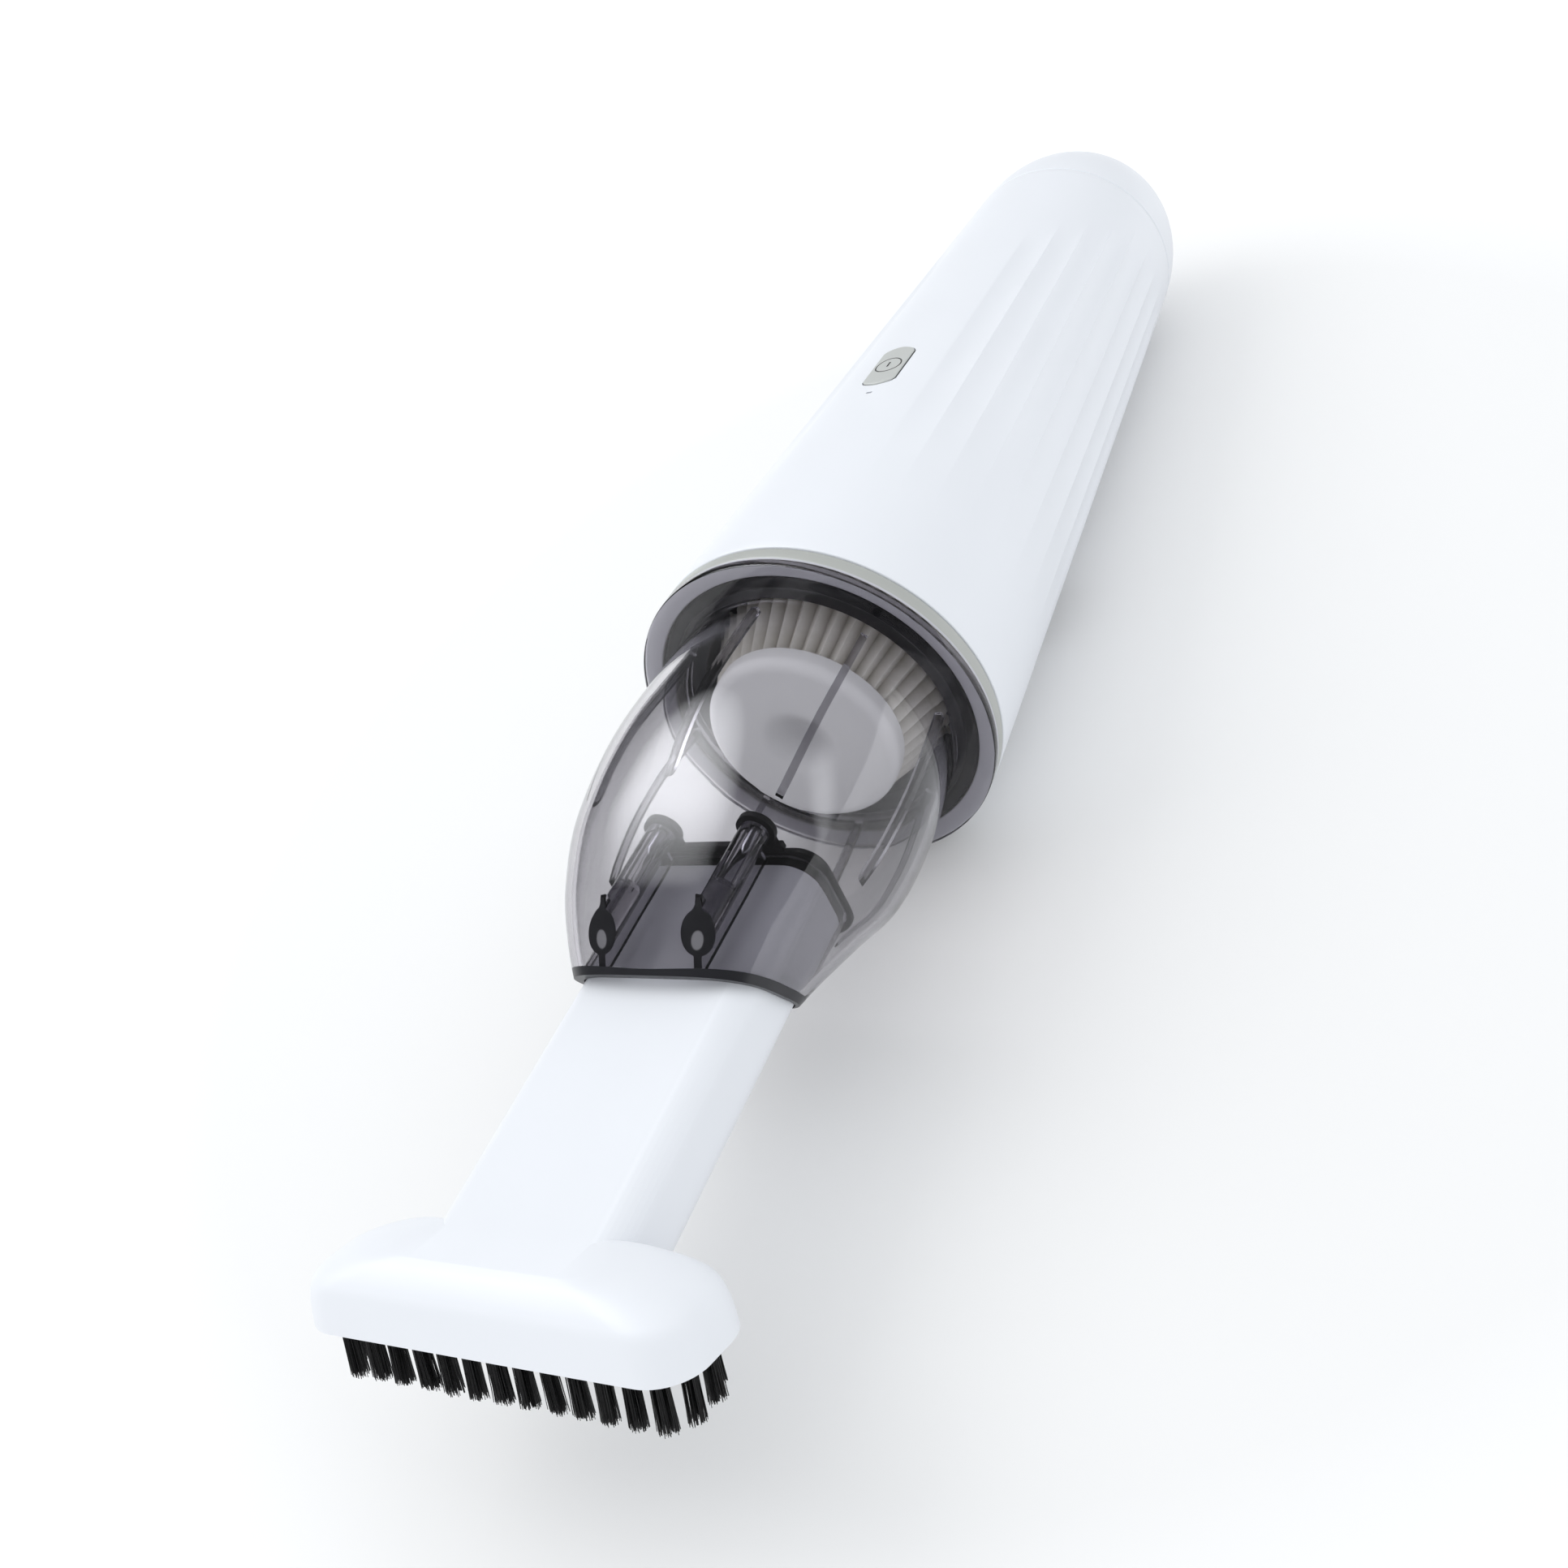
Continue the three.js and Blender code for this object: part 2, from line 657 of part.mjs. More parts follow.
// Filter: a moulded cap, a pleated cone behind it and a flanged base
function filterCap() {
  const back = filterFront + filterCapDepth;
  const edge = filterCapEdge;
  const floor = filterFront + dimpleDepth;
  const points = [[0, floor], [dimpleFloor, floor], [dimpleRadius, filterFront]];
  for (let k = 0; k <= 4; k += 1) {
    const turn = (Math.PI / 2) * (k / 4);
    points.push([filterCapRadius - edge * (1 - Math.sin(turn)), filterFront + edge * (1 - Math.cos(turn))]);
  }
  points.push([filterCapRadius, back], [0, back]);
  return solid(turned(points));
}

function filterPleats() {
  const start = filterFront + filterCapDepth + gap;
  const count = 2 * pleatCount;
  const pleated = (y, radius) => Array.from({ length: count }, (_, k) => {
    const turn = (2 * Math.PI * k) / count;
    const reach = radius - (k % 2) * pleatDepth;
    return new THREE.Vector3(reach * Math.sin(turn), y, reach * Math.cos(turn));
  });
  const cone = loft([pleated(start, pleatSmallRadius - gap), pleated(pleatEnd, pleatLargeRadius)]);
  return cut(solid(cone), solid(disc(pleatBore, start - overrun, pleatEnd + overrun, 2 * smallSides)));
}

function filterBase() {
  const flangeBack = filterFlangeFront + filterFlangeThickness;
  const sleeve = filterSleeveBore + filterSleeveWall;
  const lip = pleatEnd + gap;
  return solid(turned([[filterSleeveBore, filterFlangeFront], [filterFlangeRadius, filterFlangeFront],
    [filterFlangeRadius, flangeBack], [sleeve, flangeBack], [sleeve, filterEnd], [filterLipBore, filterEnd],
    [filterLipBore, lip], [filterSleeveBore, lip], [filterSleeveBore, filterFlangeFront]]));
}

function filterSeal() {
  const front = filterEnd + gap;
  return solid(ring(filterSleeveBore + filterSleeveWall, filterLipBore, front, front + filterSealThickness));
}

// Dust cup: a bulging cone from the round flange down to a slanted, flat-topped mouth
const tubeTop = tubeHalfDepth - tubeDrop;
const tubeBottom = -tubeHalfDepth - tubeDrop;
const mouthTilt = Math.tan(radians(mouthTiltDegrees));
const mouthAt = (z) => mouthAtTubeTop + (tubeTop - z) * mouthTilt;
const ductTop = tubeTop + ductClearance + ductWall;

function cupSkin(inset, past) {
  const root = cupRootRadius;
  const goals = [tubeHalfWidth + mouthSideLip, tubeTop + mouthTopLip, -tubeBottom + mouthBottomLip];
  const curves = [cupSideShares, cupTopShares, cupBottomShares].map((shares, g) => {
    const reach = shares.map((share) => root + (goals[g] - root) * share);
    return new THREE.SplineCurve(reach.map((value, k) => new THREE.Vector2(cupStationShares[k], value)));
  });
  const rings = [];
  for (let s = 0; s <= cupRings; s += 1) {
    const [side, top, bottom] = curves.map((curve) => curve.getPoint(s / cupRings));
    const t = side.x;
    const power = 2 + cupSectionPower * t ** cupSectionGrowth;
    const halfHeight = (top.y + bottom.y) / 2;
    const rise = (top.y - bottom.y) / 2;
    const ringPoints = [];
    for (let k = 0; k < turnedSides; k += 1) {
      const turn = (2 * Math.PI * (k + 0.5)) / turnedSides;
      const bulge = (value) => Math.sign(value) * Math.abs(value) ** (2 / power);
      const x = (side.y - inset) * bulge(Math.sin(turn));
      const z = rise + (halfHeight - inset) * bulge(Math.cos(turn));
      const y = cupSeamPlace + t * (mouthAt(z) - cupSeamPlace);
      ringPoints.push(new THREE.Vector3(x, y, z));
    }
    rings.push(ringPoints);
  }
  rings.unshift(rings[0].map((point) => point.clone().setY(flangeThickness + past)));
  if (past) rings.push(rings.at(-1).map((point) => point.clone().setY(point.y - past)));
  return solid(loft(rings));
}

function dustCup() {
  const outer = cupSkin(0, 0);
  const core = cupSkin(cupWall / 2, 0);
  const hollow = cupSkin(cupWall, overrun);
  const ribBore = cupSkin(cupWall + ribHeight, overrun);
  const ribLength = ribStart - ribEnd;
  const ribMiddle = (ribStart + ribEnd) / 2;
  const plates = [];
  for (let k = 0; k < ribCount; k += 1) {
    const plate = block(ribThickness, ribLength, 2 * cupRootRadius, 0, ribMiddle, cupRootRadius);
    plates.push(solid(plate.rotateY((2 * Math.PI * k) / ribCount)));
  }
  const ribs = cut(joined(plates).intersect(core), ribBore);
  const flange = ring(flangeRadius, cupRootRadius - cupWall / 2, 0, flangeThickness);
  const clear = ductClearance;
  const duct = bar(roundedRect(tubeHalfWidth + clear + ductWall, tubeHalfDepth + clear + ductWall,
    tubeCorner + clear + ductWall), 2 * mouthAtTubeTop, ductEnd).translate(0, 0, -tubeDrop);
  const passage = bar(roundedRect(tubeHalfWidth + clear, tubeHalfDepth + clear, tubeCorner + clear),
    2 * mouthAtTubeTop, ductEnd + overrun).translate(0, 0, -tubeDrop);
  const fittings = [];
  const bores = [];
  for (const side of [-1, 1]) {
    const x = side * bossSpread;
    const base = ductTop - ductWall / 2;
    const boss = disc(bossRadius, 2 * mouthAtTubeTop, ductEnd, smallSides);
    fittings.push(solid(boss.translate(x, 0, bossHeight)));
    const webLength = 2 * bossRadius - mouthAtTubeTop + ductEnd;
    fittings.push(solid(block(webThickness, webLength, bossHeight - base, x,
      ductEnd - bossRadius / 2 - webLength / 2, (bossHeight + base) / 2)));
    const upperLength = webUpperEnd - mouthAtTubeTop + 2 * bossRadius;
    fittings.push(solid(block(webThickness, upperLength, 2 * bossHeight, x,
      webUpperEnd - upperLength / 2, bossHeight + ductTop)));
    const bore = disc(bossBore, ductEnd - bossBoreDepth, ductEnd + overrun, smallSides);
    bores.push(solid(bore.translate(x, 0, bossHeight)));
  }
  const inside = joined(solid(duct), fittings).intersect(core);
  const shell = joined(cut(outer, hollow), inside, ribs, solid(flange));
  return cut(shell, solid(passage), bores);
}

function cupSeal() {
  const front = flangeThickness + gap;
  return solid(ring(collarBore - gap, sealInner, front, front + sealThickness));
}

const flapFront = ductEnd + gap;
const flapTop = tubeTop + ductClearance + flapMargin;

function flapValve() {
  const halfWidth = tubeHalfWidth + ductClearance + flapMargin;
  const halfDepth = tubeHalfDepth + ductClearance + flapMargin;
  const plate = bar(roundedRect(halfWidth, halfDepth, tubeCorner), flapFront, flapFront + flapThickness);
  return solid(plate.translate(0, 0, -tubeDrop));
}

function flapRetainer() {
  const back = flapFront + flapThickness;
  const width = 2 * (bossSpread + earRadius);
  const middle = flapTop + gap + hingeStrip / 2;
  const strip = block(width, flapThickness, hingeStrip, 0, (flapFront + back) / 2, middle);
  const pair = (radius, past, sides) => [-1, 1].map((side) => {
    const round = disc(radius, flapFront - past, back + past, sides);
    return solid(round.translate(side * bossSpread, 0, bossHeight));
  });
  return cut(joined(solid(strip), pair(earRadius, 0, 2 * smallSides)), pair(bossBore, overrun, smallSides));
}

function flapScrew(side) {
  const seat = flapFront + flapThickness + gap;
  const tip = seat - flapScrewLength;
  const screw = turned([[0, tip], [flapScrewShank, tip], [flapScrewShank, seat], [flapScrewHead, seat],
    [flapScrewHead, seat + flapScrewHeadHeight], [0, seat + flapScrewHeadHeight]], smallSides);
  return solid(screw.translate(side * bossSpread, 0, bossHeight));
}

// The brush head's own frame: X across, Y towards its rear edge, Z away from the bristles
const headFrame = new THREE.Matrix4().makeRotationX(radians(headTiltDegrees) - Math.PI / 2);
headFrame.setPosition(0, headPlace, -headDrop);

function headRings(inset, lower, upper) {
  const corner = headCorner - inset;
  return headHeightShares.map((share, k) => {
    const halfWidth = headHalfWidth * headSideShares[k] - inset;
    const halfDepth = headHalfDepth * headDepthShares[k] - inset;
    const shape = roundedRect(halfWidth, halfDepth, Math.min(corner, halfDepth * headCornerShare));
    const height = THREE.MathUtils.lerp(lower, upper, share);
    return shape.getPoints(3).slice(0, -1).map((point) => new THREE.Vector3(point.x, point.y, height));
  });
}

// Everything on the far side of a plane at a height above the rim
function aboveRim(height) {
  const size = 6 * headHalfWidth;
  return solid(block(size, size, size, 0, 0, height + size / 2).applyMatrix4(headFrame));
}

function nozzle() {
  const flatTube = (inset, past) => {
    const section = roundedRect(tubeHalfWidth - inset, tubeHalfDepth - inset, tubeCorner - inset);
    return solid(bar(section, tubeOuterEnd + inset, tubeInnerEnd + past).translate(0, 0, -tubeDrop));
  };
  const head = solid(loft(headRings(0, 0, headHeight)).applyMatrix4(headFrame));
  const hollow = solid(loft(headRings(headWall, -overrun, headHeight - headWall)).applyMatrix4(headFrame));
  const foot = flatTube(0, 0).intersect(aboveRim(tubeFootClearance));
  const outer = joined(foot, head);
  const passage = flatTube(tubeWall, overrun).intersect(aboveRim(tubeFootClearance + tubeWall));
  return cut(outer, hollow, passage);
}

// Bristle tufts stand at an even pitch along the middle of the strips
function scatter(seed) {
  const value = Math.sin(seed * 12.9898) * 43758.5453;
  return value - Math.floor(value);
}

function strand(x, y, leanX, leanY, length, seed) {
  const turn = 2 * Math.PI * scatter(seed);
  const points = [];
  for (const [height, spread] of [[stripSetback + stripDepth / 2, 0], [-length, 1]]) {
    const ringPoints = [0, 1, 2].map((k) => {
      const angle = turn + (2 * Math.PI * k) / 3;
      return new THREE.Vector3(x + spread * leanX + strandRadius * Math.cos(angle),
        y + spread * leanY + strandRadius * Math.sin(angle), height);
    });
    points.push(ringPoints);
  }
  return solid(loft(points).applyMatrix4(headFrame));
}

const stripOuter = headWall + stripClearance;

function stripRect(inset) {
  const corner = Math.max(headCorner - inset, stripWidth / 4);
  return roundedRect(headHalfWidth - inset, headHalfDepth - inset, corner);
}

function bristleStrip(keep) {
  const middle = stripRect(stripOuter + stripWidth / 2);
  const outline = middle.getSpacedPoints(tuftCount);
  const split = ((tuftsBesideMiddle + 0.5) * middle.getLength()) / tuftCount;
  const shape = stripRect(stripOuter);
  shape.holes.push(new THREE.Path(stripRect(stripOuter + stripWidth).getPoints(4)));
  const band = new THREE.ExtrudeGeometry(shape, { depth: stripDepth, bevelEnabled: false, curveSegments: 4 });
  band.translate(0, 0, stripSetback);
  const size = 2 * headHalfWidth;
  const half = split - gap / 2;
  const trims = {
    front: block(2 * half, size, size, 0, -size / 2, 0),
    rear: block(2 * half, size, size, 0, size / 2, 0),
    left: block(size, size, size, -half - gap - size / 2, 0, 0),
    right: block(size, size, size, half + gap + size / 2, 0, 0),
  };
  const belongs = {
    front: (p) => Math.abs(p.x) < split && p.y < 0,
    rear: (p) => Math.abs(p.x) < split && p.y > 0,
    left: (p) => p.x < -split,
    right: (p) => p.x > split,
  };
  let shapeSolid = solid(band.applyMatrix4(headFrame)).intersect(solid(trims[keep].applyMatrix4(headFrame)));
  outline.slice(0, -1).forEach((tuft, t) => {
    if (!belongs[keep](tuft)) return;
    const strands = [];
    for (let k = 0; k < strandsPerTuft; k += 1) {
      const ringIndex = k < strandsInInnerRing ? 0 : 1;
      const count = ringIndex ? strandsPerTuft - strandsInInnerRing : strandsInInnerRing;
      const angle = (2 * Math.PI * (ringIndex ? k - strandsInInnerRing : k)) / count + t;
      const radius = tuftRadius * (ringIndex ? 1 : innerRingShare);
      const seed = strandsPerTuft * t + k + 1;
      const length = strandLength + strandLengthSpread * (scatter(seed + 0.5) - 0.5);
      const splay = strandSplayShare * length * (radius / tuftRadius);
      const [dx, dy] = [Math.cos(angle), Math.sin(angle)];
      strands.push(strand(tuft.x + radius * dx, tuft.y + radius * dy, splay * dx, splay * dy, length, seed));
    }
    shapeSolid = joined(shapeSolid, strands);
  });
  return shapeSolid;
}

// Body and tail
piece('body_shell', bodyShell(), white);
piece('tail_cap', tailCap(), white);
piece('collar_ring', collarRing(), sage);
piece('power_button', powerButton(), sage);
piece('led_light_pipe', lightPipe(), lightGuide);
piece('charging_socket', chargingSocket(), steel);

// Electronics and battery
piece('circuit_board', circuitBoard(), board);
piece('tact_switch', tactSwitch(), black);
piece('battery_plate_front', batteryPlate(batteryStart), inner);
piece('battery_plate_rear', batteryPlate(cellFront + cellLength + gap), inner);
for (const [place, centre] of Object.entries(cellPlaces)) {
  piece(`battery_cell_${place}`, batteryCell(centre), cellBlue);
}

// Motor and fan
piece('bulkhead', bulkhead(), inner);
piece('fan_housing', fanHousing(), inner);
piece('impeller', impeller(), filterGrey);
piece('motor_shaft', motorShaft(), steel);
piece('motor_can', motorCan(), alloy);
piece('motor_mount', motorMount(), black);
piece('motor_screw_left', motorScrew(-1), steel);
piece('motor_screw_right', motorScrew(1), steel);

// Filter
piece('filter_cap', filterCap(), filterGrey);
piece('filter_pleats', filterPleats(), paper);
piece('filter_base', filterBase(), filterGrey);
piece('filter_seal', filterSeal(), black);

// Dust cup and flap valve
piece('dust_cup', dustCup(), smoke);
piece('cup_seal_ring', cupSeal(), black);
piece('flap_valve', flapValve(), black);
piece('flap_retainer', flapRetainer(), black);
piece('flap_screw_left', flapScrew(-1), steel);
piece('flap_screw_right', flapScrew(1), steel);

// Nozzle and bristles
piece('nozzle', nozzle(), white);
for (const place of ['front', 'rear', 'left', 'right']) {
  piece(`bristles_${place}`, bristleStrip(place), bristle);
}

// Laid on the table: the slope of the body's underside turns level, and the footprint is centred
const lying = new THREE.Group();
lying.add(vacuum);
vacuum.rotation.x = -Math.atan(bodyTaperShare);
vacuum.position.z = bodyRadius * Math.cos(Math.atan(bodyTaperShare));
const extent = new THREE.Box3().setFromObject(lying, true);
vacuum.position.y = -(extent.min.y + extent.max.y) / 2;

export default lying;
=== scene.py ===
import math
import random

import bmesh
import bpy
from mathutils import Matrix, Vector


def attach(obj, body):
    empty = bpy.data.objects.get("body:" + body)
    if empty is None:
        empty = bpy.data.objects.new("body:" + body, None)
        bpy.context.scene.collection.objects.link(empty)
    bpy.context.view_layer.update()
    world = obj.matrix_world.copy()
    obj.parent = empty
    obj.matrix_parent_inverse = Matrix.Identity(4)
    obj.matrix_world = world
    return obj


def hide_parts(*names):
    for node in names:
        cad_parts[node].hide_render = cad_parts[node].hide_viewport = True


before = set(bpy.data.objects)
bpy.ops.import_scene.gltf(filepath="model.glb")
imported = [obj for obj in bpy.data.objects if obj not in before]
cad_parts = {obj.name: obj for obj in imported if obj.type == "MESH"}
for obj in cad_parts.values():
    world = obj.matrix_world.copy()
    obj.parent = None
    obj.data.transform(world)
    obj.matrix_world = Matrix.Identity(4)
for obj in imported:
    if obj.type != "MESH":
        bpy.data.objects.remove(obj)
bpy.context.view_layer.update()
scene = bpy.context.scene
scene.view_settings.view_transform = "Standard"

# Body shell: one moulding in white plastic, a tapered tube that is also the handle. Shallow flutes
# run down both flanks, a plain strip along the top carries the button, and the exhaust slots are
# underneath. It is drawn about the vacuum's own axis and then laid on the table on its underside.
mm = 0.001
body_radius = 45.2 * mm
body_taper_share = 0.055
body_wall = 2.2 * mm
body_front = 7.2 * mm
body_end = 220.9 * mm
gap = 0.3 * mm
overrun = 1 * mm
edge_round = 0.35 * mm
strip_degrees = 20
flutes_per_side = 12
flute_depth = 0.95 * mm
flute_start = 34 * mm
flute_full = 105 * mm
flute_end_at_strip = 178 * mm
flute_end_at_side = 208 * mm
flute_side_degrees = 65
flute_run_out = 16 * mm
flute_point_shares = (0, 0.03, 0.1, 0.26, 0.5, 0.74, 0.9, 0.97)
vent_count = 5
vent_pitch = 5 * mm
vent_width = 2.2 * mm
vent_length = 13 * mm
vent_start = 79 * mm
vent_degrees = 146
body_tilt = Matrix.Rotation(-math.atan(body_taper_share), 4, "X")
rest_place = (0, -41.7556 * mm, body_radius * math.cos(math.atan(body_taper_share)))
laid_down = Matrix.Translation(rest_place) @ body_tilt


def body_radius_at(y):
    return body_radius - body_taper_share * y


def smooth_share(value, low, high):
    share = min(1.0, max(0.0, (value - low) / (high - low)))
    return share * share * (3 - 2 * share)


def blend_share(one, other, share):
    return one + (other - one) * share


def about_axis(radius, turn, y):
    """A point beside the vacuum's axis; the turn is counted from the top."""
    return radius * math.sin(turn), y, radius * math.cos(turn)


def skin(bm, count, stations, place):
    """A skin of rings; place(number, station) says where each ring's points go."""
    number = bm.verts.layers.int.get("number") or bm.verts.layers.int.new("number")
    loop = bmesh.ops.create_circle(bm, segments=count, radius=body_radius)["verts"]
    for k, vert in enumerate(loop):
        vert[number] = k
    first = edges = list({edge for vert in loop for edge in vert.link_edges})
    for k, station in enumerate(stations):
        if k:
            grown = bmesh.ops.extrude_edge_only(bm, edges=edges)["geom"]
            loop = [item for item in grown if isinstance(item, bmesh.types.BMVert)]
            new = set(loop)
            edges = [item for item in grown
                     if isinstance(item, bmesh.types.BMEdge) and new.issuperset(item.verts)]
        for vert in loop:
            vert.co = place(vert[number], station)
    return first, edges


def walled(count, stations, outside, inside):
    """An open-ended wall: one skin runs out along the outside and back along the inside to its start."""
    legs = [(outside, station) for station in stations]
    legs += [(inside, station) for station in reversed(stations)]
    bm = bmesh.new()
    skin(bm, count, legs + legs[:1], lambda number, leg: leg[0](number, leg[1]))
    bmesh.ops.remove_doubles(bm, verts=bm.verts, dist=1e-7)
    return bm


def block(size, place, turn=None):
    bm = bmesh.new()
    bmesh.ops.create_cube(bm, size=1)
    bmesh.ops.scale(bm, vec=size, verts=bm.verts)
    bmesh.ops.translate(bm, vec=place, verts=bm.verts)
    if turn:
        bmesh.ops.transform(bm, matrix=turn, verts=bm.verts)
    return bm


def eased(bm, edges, width, segments):
    """The given edges rounded."""
    bmesh.ops.bevel(bm, geom=edges, offset=width, offset_type="OFFSET", segments=segments, profile=0.5,
                    affect="EDGES", material=-1, clamp_overlap=True)
    return bm


def edges_along(bm, axis, least):
    """The edges that run further than a least length along one axis."""
    return [edge for edge in bm.edges if abs(edge.verts[0].co[axis] - edge.verts[1].co[axis]) > least]


def gathered(*solids):
    """Several separate solids as one mesh."""
    whole = bmesh.new()
    for solid in solids:
        part = bpy.data.meshes.new("part")
        solid.to_mesh(part)
        solid.free()
        whole.from_mesh(part)
        bpy.data.meshes.remove(part)
    return whole


def placed(name, data):
    made = bpy.data.objects.new(name, data)
    scene.collection.objects.link(made)
    return made


def fitted(bm, tool, operation):
    """The first solid with the second cut out of it, joined to it, or kept only inside it."""
    blanks = []
    for solid in (bm, tool):
        bmesh.ops.remove_doubles(solid, verts=solid.verts, dist=1e-7)
        bmesh.ops.triangulate(solid, faces=[face for face in solid.faces if len(face.verts) > 4])
        bmesh.ops.recalc_face_normals(solid, faces=solid.faces)
        mesh = bpy.data.meshes.new("blank")
        solid.to_mesh(mesh)
        solid.free()
        blanks.append(placed("blank", mesh))
    change = blanks[0].modifiers.new("fit", "BOOLEAN")
    change.operation = operation
    change.solver = "EXACT"
    change.object = blanks[1]
    bpy.context.view_layer.update()
    result = blanks[0].evaluated_get(bpy.context.evaluated_depsgraph_get())
    whole = bmesh.new()
    whole.from_mesh(result.to_mesh())
    result.to_mesh_clear()
    for blank in blanks:
        mesh = blank.data
        bpy.data.objects.remove(blank)
        bpy.data.meshes.remove(mesh)
    return whole


def finished(name, bm, material, body, nodes, sharp=35):
    """Turns a solid into a piece of the vacuum, laid down, smooth but for its real edges."""
    bmesh.ops.remove_doubles(bm, verts=bm.verts, dist=1e-7)
    bmesh.ops.recalc_face_normals(bm, faces=bm.faces)
    bmesh.ops.transform(bm, matrix=laid_down, verts=bm.verts)
    for edge in bm.edges:
        edge.smooth = edge.calc_face_angle(0.0) < math.radians(sharp)
    for face in bm.faces:
        face.smooth = True
    mesh = bpy.data.meshes.new(name)
    bm.to_mesh(mesh)
    bm.free()
    mesh.materials.append(material)
    made = placed(name, mesh)
    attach(made, body)
    if nodes:
        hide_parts(*nodes)


def blank_material(name):
    material = bpy.data.materials.new(name)
    material.use_nodes = True
    tree = material.node_tree
    tree.nodes.clear()
    output = tree.nodes.new("ShaderNodeOutputMaterial")
    shader = tree.nodes.new("ShaderNodeBsdfPrincipled")
    tree.links.new(shader.outputs["BSDF"], output.inputs["Surface"])
    return material, tree, shader


def node_of(tree, kind):
    return next(node for node in tree.nodes if node.type == kind)


def added(tree, kind, result, inputs=None, operation=None, data_type=None):
    """A node's result; each input is linked to another node's result or set to a plain value."""
    node = tree.nodes.new(kind)
    if operation:
        node.operation = operation
    if data_type:
        node.data_type = data_type
    for label, value in (inputs or {}).items():
        if isinstance(value, bpy.types.NodeSocket):
            tree.links.new(value, node.inputs[label])
        else:
            node.inputs[label].default_value = value
    return node.outputs[result]


def noise(tree, vector, scale, detail, roughness=0.5):
    return added(tree, "ShaderNodeTexNoise", "Fac",
                 {"Vector": vector, "Scale": scale, "Detail": detail, "Roughness": roughness})


def mapped(tree, value, low, high, to_low, to_high):
    return added(tree, "ShaderNodeMapRange", "Result",
                 {"Value": value, "From Min": low, "From Max": high, "To Min": to_low, "To Max": to_high})


def sums(tree, operation, one, other=0):
    return added(tree, "ShaderNodeMath", "Value", {0: one, 1: other}, operation)


# Moulded plastic has a faint spark-eroded grain, slow changes of tone, and handling smudges that
# show only in the gloss. One group gives all the plastics these, each with its own amounts.
moulded = bpy.data.node_groups.new("moulded_surface", "ShaderNodeTree")
moulded.interface.new_socket("Vector", in_out="INPUT", socket_type="NodeSocketVector")
moulded.interface.new_socket("Colour", in_out="INPUT", socket_type="NodeSocketColor")
for label in ("Tone", "Roughness", "Smudge", "Grain Scale"):
    moulded.interface.new_socket(label, in_out="INPUT", socket_type="NodeSocketFloat")
for label, kind in (("Colour", "NodeSocketColor"), ("Roughness", "NodeSocketFloat"),
                    ("Height", "NodeSocketFloat")):
    moulded.interface.new_socket(label, in_out="OUTPUT", socket_type=kind)
moulded_in = moulded.nodes.new("NodeGroupInput")
moulded_out = moulded.nodes.new("NodeGroupOutput")
places, colour, tone, gloss, smudge_share, grain = moulded_in.outputs[:6]
shade = mapped(moulded, noise(moulded, places, 22, 2), 0.3, 0.7, sums(moulded, "SUBTRACT", 1, tone), 1)
darker = added(moulded, "ShaderNodeVectorMath", "Vector", {0: colour, "Scale": shade}, "SCALE")
smudge = mapped(moulded, noise(moulded, places, 85, 4, 0.6), 0.35, 0.7, -1, 1)
rough = sums(moulded, "ADD", gloss, sums(moulded, "MULTIPLY", smudge, smudge_share))
for label, value in (("Colour", darker), ("Roughness", rough), ("Height", noise(moulded, places, grain, 3))):
    moulded.links.new(value, moulded_out.inputs[label])


def plastic(name, colour, tone, roughness, smudge_share, grain, bump, depth=0.02 * mm):
    """A moulded plastic: colour, amounts for the shared surface, and the grain's bump."""
    material, tree, shader = blank_material(name)
    surface = tree.nodes.new("ShaderNodeGroup")
    surface.node_tree = moulded
    tree.links.new(added(tree, "ShaderNodeTexCoord", "Object"), surface.inputs["Vector"])
    surface.inputs["Colour"].default_value = (*colour, 1)
    for label, value in (("Tone", tone), ("Roughness", roughness), ("Smudge", smudge_share),
                         ("Grain Scale", grain)):
        surface.inputs[label].default_value = value
    relief = added(tree, "ShaderNodeBump", "Normal",
                   {"Strength": bump, "Distance": depth, "Height": surface.outputs["Height"]})
    tree.links.new(surface.outputs["Colour"], shader.inputs["Base Color"])
    tree.links.new(surface.outputs["Roughness"], shader.inputs["Roughness"])
    tree.links.new(relief, shader.inputs["Normal"])
    return material


white_plastic = plastic("white_moulding", (0.83, 0.85, 0.89), 0.012, 0.42, 0.03, 2400, 0.02, 0.004 * mm)
shader = node_of(white_plastic.node_tree, "BSDF_PRINCIPLED")
shader.inputs["Specular IOR Level"].default_value = 0.3

# Round the shell every point has its turn and its share of the flutes' depth: none on the strips along
# the top and the underside, and a shallow arc in each flute.
under_step = 2
body_turns = [(math.radians(k - strip_degrees), 0) for k in range(2 * strip_degrees)]
flute_degrees = (180 - 2 * strip_degrees) / flutes_per_side
for base in (strip_degrees, 180 + strip_degrees):
    for k in range(flutes_per_side):
        for share in flute_point_shares:
            body_turns.append((math.radians(base + flute_degrees * (k + share)), 1 - (2 * share - 1) ** 2))
    if base == strip_degrees:
        body_turns += [(math.radians(180 + k), 0) for k in range(-strip_degrees, strip_degrees, under_step)]


def end_round(y, low, high):
    inside = min(y - low, high - y)
    if inside >= edge_round:
        return 0
    return edge_round - math.sqrt(max(0, edge_round ** 2 - (edge_round - inside) ** 2))


